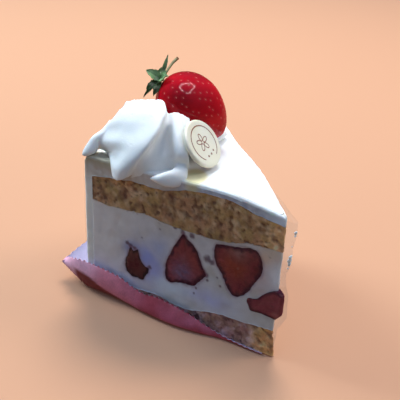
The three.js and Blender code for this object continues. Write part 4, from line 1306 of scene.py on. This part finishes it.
def petal(turn):
    """One petal's line, turned round the flower's middle."""
    t = np.linspace(0, 2 * math.pi, 40)
    out, wide = PETAL_MIDDLE - PETAL_HALF_LENGTH * np.cos(t), PETAL_HALF_WIDTH * np.sin(t)
    a = out * math.cos(turn) - wide * math.sin(turn)
    b = out * math.sin(turn) + wide * math.cos(turn)
    return FLOWER_CENTRE[0] + a, FLOWER_CENTRE[1] + b


def ornament():
    """An open ring round a five-petalled flower, with three dots beside it."""
    lines = [(*arc((0, 0), RING_RADIUS, RING_START, RING_END, 110), RING_WIDTH)]
    lines += [(*petal(math.radians(90 + 72 * k)), PETAL_LINE) for k in range(5)]
    lines += [(*arc(dot, DOT_RADIUS, 0, 350, 14), DOT_LINE) for dot in DOTS]
    bodies = []
    for a, b, width in lines:
        taper = 0.75 + 0.25 * np.sin(np.linspace(0, math.pi, len(a)))
        bodies.append(sweep(on_disc(a, b), DISC_FACING, (width / 2, LINE_HALF_HEIGHT), taper, 8))
    return finished("disc_ornament", joined(bodies), [], [print_material])


disc()
ornament()


# Paper liner: flat under the slice, its pinked margins curling up round it

TOOTH_DEPTH, TOOTH_PITCH = 0.7, 2.55
PAPER_START, PAPER_REACH = 4.0, 106.0
FLAP_TOP = through([
    (0, 0.6), (20, 2), (30, 4.8), (40, 7.9), (54, 9.9), (60, 9.2), (66, 10.4), (73, 13.4), (92, 15), (98, 14),
    (106, 9.5),
])
FLAP_BULGE = through([(0, 0.6), (22, 2), (33, 7), (45, 10), (58, 8.5), (70, 6.2), (90, 6.2), (106, 0)])
FLAP_LIFT = through([(0, 0), (60, 0), (72, 2), (82, 5.5), (92, 7.5), (106, 9)])
FLAP_LEAN = through([(0, 2), (70, 2.2), (90, 2), (98, 1.4), (106, -3.6)])
# How high the painted contact shadow along the paper's foot reaches, by distance from the tip
CONTACT_SHADOW_TOP = through([(0, 0.3), (40, 0.8), (66, 1.2), (74, 3), (83, 6), (87, 8.3), (92, 9.6), (106, 10)])
CORNER_LIFT, MIDDLE_LIFT, PULL_IN, MARGIN_BEND = 8.5, 14.5, 3.4, 1.2
PAPER_INSIDE = (0.62, 0.54, 0.70)
# The paper's reds, and the colour of the painted contact shadow at its foot
PAPER_RED, PAPER_DARK, CONTACT_SHADOW_COLOUR = (0.66, 0.165, 0.26), (0.38, 0.06, 0.085), (0.20, 0.022, 0.016)
# The outside is paler towards the rim: colour, the distances between which it comes in, strength
PAPER_PINKS = [((0.84, 0.28, 0.36), (56, 80), 0.85), ((0.96, 0.50, 0.62), (80, 92), 0.9)]


def beyond_rim(reach):
    """The share of the way from the cake's rim to the paper's edge."""
    return np.maximum(reach - CAKE_RADIUS, 0) / (PAPER_REACH - CAKE_RADIUS)


def tooth(distance):
    """How far the pinked edge stands out there."""
    return TOOTH_DEPTH * (4 * np.abs((distance / TOOTH_PITCH) % 1 - 0.5) - 1)


def flap_point(reach, share, side, offset):
    """A margin along a cut face: share runs from 0 at the fold to 1 at the pinked edge."""
    pinked = tooth(reach) * np.minimum(FLAP_TOP(reach) / 3, 1) * (share > 0.999)
    across = (0, FLAP_BULGE(reach), FLAP_LEAN(reach))
    rise = (CORNER_LIFT * beyond_rim(reach) ** MARGIN_BEND, FLAP_LIFT(reach), FLAP_TOP(reach) + pinked)
    d_out, d_z = bent_slope(share, *across), bent_slope(share, *rise)
    run = np.hypot(d_out, d_z) + 1e-9
    out = bent(share, *across) - d_z / run * offset
    z = bent(share, *rise) + d_out / run * offset
    p = APEX + by_side(side, RIMWARD) * reach[:, None] + by_side(side, OUT) * out[:, None]
    return p + z[:, None] * UP


def paper_level(offset):
    """One side of the paper. column runs from -1 to 1 between the folds, and beyond them up the margins."""
    def at(reach, column):
        crinkle = 0.10 * noise(np.stack([reach, 8 * column, 0 * reach], 1), 4.0, 1101)
        margin = np.abs(column) > 1
        flap = flap_point(reach, np.maximum(np.abs(column) - 1, 0), column, offset)
        angle = np.clip(column, -1, 1) * HALF_ANGLE
        beyond = beyond_rim(reach)
        middle = 1 - np.clip(column, -1, 1) ** 4
        lift = CORNER_LIFT + (MIDDLE_LIFT - CORNER_LIFT) * middle
        edge = tooth(angle * CAKE_RADIUS) * (beyond > 0.999)
        distance = reach + edge - PULL_IN * beyond * middle - offset * beyond
        flat = circling(-angle, -distance, lift * beyond**MARGIN_BEND + offset) + APEX
        free = smoothstep(1.05, 1.4, np.abs(column)) + smoothstep(0.1, 0.5, beyond)
        p = np.where(margin[:, None], flap, flat)
        return p + by_side(column, OUT) * (crinkle * np.minimum(free, 1) * margin)[:, None]
    return at


def paper():
    rows = np.linspace(PAPER_START, PAPER_REACH, 321)
    margin = 1 + (1 - (1 - np.linspace(0, 1, 18)) ** 1.6)
    columns = np.concatenate([-margin[::-1], np.linspace(-1, 1, 62)[1:-1], margin])
    points, faces = slab(rows, columns, [paper_level(0.0), paper_level(PAPER)])
    outside_count = len(rows) * len(columns)
    reach = reach_of(points)
    pink = 0.5 + 0.6 * noise(points, 14, 1102) + 0.3 * noise(points, 4, 1103)
    pink = mixed(PAPER_RED, PAPER_DARK, pink)
    for colour, reaches, strength in PAPER_PINKS:
        pink = mixed(pink, colour, strength * smoothstep(*reaches, reach))
    # Painted contact shadow along the paper's foot
    contact_shadow = smoothstep(0.8, -0.8, points[:, 2] - CONTACT_SHADOW_TOP(reach)) * smoothstep(99, 95, reach)
    tint = mixed(pink, CONTACT_SHADOW_COLOUR, 0.95 * contact_shadow)
    tint[outside_count:] = PAPER_INSIDE
    body, materials = (points, faces), [paper_inside, paper_outside]
    piece = finished("paper_pinked", body, ["paper_liner"], materials, tint)
    is_outside = (faces[0] < outside_count).all(axis=1)
    piece.data.polygons.foreach_set("material_index", is_outside.astype(np.int32))
    piece.data.update()
    return piece


paper()


# Clear film round both cut faces

FILM_TOP = through([(0, 65.2), (12, 66.4), (28, 65), (50, 62.4), (62, 58), (90, 57.4)])
# How far it stands out from the tip, by height
FILM_LOOSE = through([
    (0, 0), (12, 0.3), (18, 2.6), (23, 4.2), (31, 4.2), (36, 2), (40, 1.6), (46, 2.6), (54, 3.2), (66, 3.6),
])
FILM_THICKNESS = 0.06
# Each face's share of the strip, how far to the rim it goes, its foot's height, its clearance from the cut
FACE_SHARE, RIM_END, FILM_FOOT, CLEARANCE = 0.42, 0.995, 2.0, 0.6
# How fast its looseness fades away from the tip
LOOSE_REACH = 9


def film_level(offset):
    """The strip: share runs along it from the front end to the back one, rise from its foot to its top."""
    def at(share, rise):
        side = np.where(share < 0.5, -1.0, 1.0)
        from_end = np.minimum(share, 1 - share)
        flat = from_end < FACE_SHARE
        u = np.where(flat, RIM_END * (1 - from_end / FACE_SHARE), 0.0)
        v = np.where(flat, side, side * (1 - (from_end - FACE_SHARE) / (0.5 - FACE_SHARE)))
        z = FILM_FOOT + (FILM_TOP(u * CAKE_RADIUS) - FILM_FOOT) * rise
        x, y = wedge_point(u, v, -CLEARANCE - offset, 0.0)
        near = np.exp(-u * CAKE_RADIUS / LOOSE_REACH)
        ripple = 0.35 * np.sin(0.5 * z + 3 * side)
        p = np.stack([x + (FILM_LOOSE(z) + ripple * near) * near, y, z], 1)
        crease = 0.16 * noise(p * (1, 1, 0.12), 8, 1201) + 0.25 * near * noise(p * (1, 1, 2.0), 5, 1202)
        return p + facing_out(v) * crease[:, None]
    return at


def film():
    first = np.linspace(0, FACE_SHARE, 90)
    round_tip = np.linspace(FACE_SHARE, 1 - FACE_SHARE, 24)
    last = np.linspace(1 - FACE_SHARE, 1, 90)
    shares = np.concatenate([first, round_tip[1:], last[1:]])
    body = slab(shares, np.linspace(0, 1, 70), [film_level(0.0), film_level(FILM_THICKNESS)])
    return finished("film_clear", body, ["film_wrap"], [clear_film])


film()


# Bits of cream that stick to the film round the tip: share along it, height and radius
FILM_BITS = [
    (0.512, 61, 0.8), (0.506, 59.6, 0.55), (0.52, 60.2, 0.5), (0.50, 50, 0.9), (0.494, 48.6, 1.1),
    (0.488, 47, 0.8), (0.482, 47.6, 0.6), (0.505, 46.4, 0.7), (0.497, 44.6, 0.5), (0.515, 49, 0.45),
    (0.509, 54.5, 0.35),
]
# How flat they are, and how far they lie inside the film
BIT_SQUASH, BIT_INSET = (0.45, 1, 0.8), 0.2


def film_bits():
    bodies = []
    for share, height, radius in FILM_BITS:
        body, body_faces = ball(radius, radius, 13, 20)
        body = body * (1 + 0.35 * noise(body + 10 * height, 0.8, 1301))[:, None] * BIT_SQUASH
        rise = (height - FILM_FOOT) / (FILM_TOP(0.0) - FILM_FOOT)
        place = film_level(-BIT_INSET)(np.array([share]), np.array([rise]))[0]
        bodies.append((body + place, body_faces))
    body = joined(bodies)
    return finished("film_smears", body, [], [cream_material], plain(CREAM, body[0]))


film_bits()


# Floor, light and camera, in metres where Blender takes them

FLOOR_SIZE, FLOOR_COLOUR = 6.0, (0.555, 0.28, 0.157, 1)


def floor():
    material, nodes, _ = new_material("pale_floor")
    put(nodes["Principled BSDF"], {"Base Color": FLOOR_COLOUR, "Roughness": 0.7})
    bpy.ops.mesh.primitive_plane_add(size=FLOOR_SIZE)
    plane = bpy.context.object
    plane.name = "floor"
    plane.data.materials.append(material)
    plane.visible_diffuse = False


# The lamps: name, place, what they look at, size, energy and colour
LAMPS = [
    ("overhead", (-0.42, 0.38, 0.95), (0, 0, 0.03), 0.5, 11.0, (0.95, 0.98, 1.0)),
    ("right", (0.35, 0.65, 0.75), (0, 0, 0.05), 0.4, 4.0, (1.0, 0.98, 0.95)),
    ("left", (-0.80, -0.34, 0.70), (0, 0, 0.07), 0.4, 10.5, (0.68, 0.86, 1.0)),
]


def lights():
    for name, place, target, size, energy, colour in LAMPS:
        data = bpy.data.lights.new(name, "AREA")
        data.shape = "DISK"
        data.size = size
        data.energy = energy
        data.color = colour
        lamp = placed(name, data)
        lamp.location = place
        lamp.rotation_mode = "QUATERNION"
        lamp.rotation_quaternion = (Vector(target) - Vector(place)).to_track_quat("-Z", "Y")
        lamp.visible_glossy = False


# The tube lamp's middle, height, radius and half thickness, and where its loop is open, in degrees
TUBE_X, TUBE_Y, TUBE_Z, TUBE_REACH, TUBE_HALF = 276, -225, 1020, 375, 15
TUBE_START, TUBE_END = -49, 275


def tube_lamp():
    """An open loop of tube lamp above, which shows only in what is glossy."""
    material, nodes, links = new_material("lamp_tube")
    nodes.remove(nodes["Principled BSDF"])
    glow = added(nodes, "Emission", {"Color": (1, 0.88, 0.92, 1), "Strength": 60.0})
    links.new(glow.outputs["Emission"], nodes["Material Output"].inputs["Surface"])
    angle = np.radians(np.linspace(TUBE_START, TUBE_END, 90))
    reach = TUBE_REACH * (1 + 0.1 * np.cos(3 * (angle - math.pi / 2)))
    line = circling(angle, reach, TUBE_Z) + (TUBE_X, TUBE_Y, 0)
    mesh = mesh_of("tube_lamp", *sweep(line, UP, (TUBE_HALF, TUBE_HALF), 1, 10))
    mesh.materials.append(material)
    tube = placed("tube_lamp", mesh)
    tube.visible_diffuse = False
    tube.visible_shadow = False


# The sky's colours: from below, level with the eye, and from above; and the height of the middle one
SKY_LOW, SKY_LEVEL, SKY_HIGH = (0.24, 0.18, 0.145, 1), (0.155, 0.17, 0.185, 1), (0.23, 0.38, 0.62, 1)
SKY_STOP = 0.45


def surroundings():
    """Soft light from all round: warm from below, dim from the side, cool from above."""
    world = bpy.data.worlds.new("studio")
    world.use_nodes = True
    nodes, links = world.node_tree.nodes, world.node_tree.links
    split = added(nodes, "SeparateXYZ")
    links.new(added(nodes, "TexCoord").outputs["Generated"], split.inputs["Vector"])
    share = added(nodes, "MapRange", {"From Min": -0.3, "From Max": 0.8})
    links.new(split.outputs["Z"], share.inputs["Value"])
    ramp = added(nodes, "ValToRGB")
    stops = ramp.color_ramp.elements
    stops[0].color = SKY_LOW
    stops[1].color = SKY_HIGH
    stops.new(SKY_STOP).color = SKY_LEVEL
    links.new(share.outputs["Result"], ramp.inputs["Fac"])
    links.new(ramp.outputs["Color"], nodes["Background"].inputs["Color"])
    bpy.context.scene.world = world


CAMERA_PLACE = np.array([195.1, -168.1, 192.4])
CAMERA_FORWARD = unit([-0.673, 0.563, -0.480])
CAMERA_RIGHT = unit(np.cross(CAMERA_FORWARD, [-0.407, 0.261, 0.875]))
CAMERA_UP = np.cross(CAMERA_RIGHT, CAMERA_FORWARD)
# The lens and its sensor, in millimetres
LENS, SENSOR = 63.0, 36.0


def camera():
    data = bpy.data.cameras.new("camera")
    data.lens = LENS
    data.sensor_width = SENSOR
    data.clip_start = 0.01
    seen = placed("camera", data)
    matrix = Matrix(np.stack([CAMERA_RIGHT, CAMERA_UP, -CAMERA_FORWARD], 1).tolist()).to_4x4()
    matrix.translation = Vector(CAMERA_PLACE * MM)
    seen.matrix_world = matrix
    bpy.context.scene.camera = seen


floor()
lights()
tube_lamp()
surroundings()
camera()
bpy.context.scene.view_settings.view_transform = "Standard"
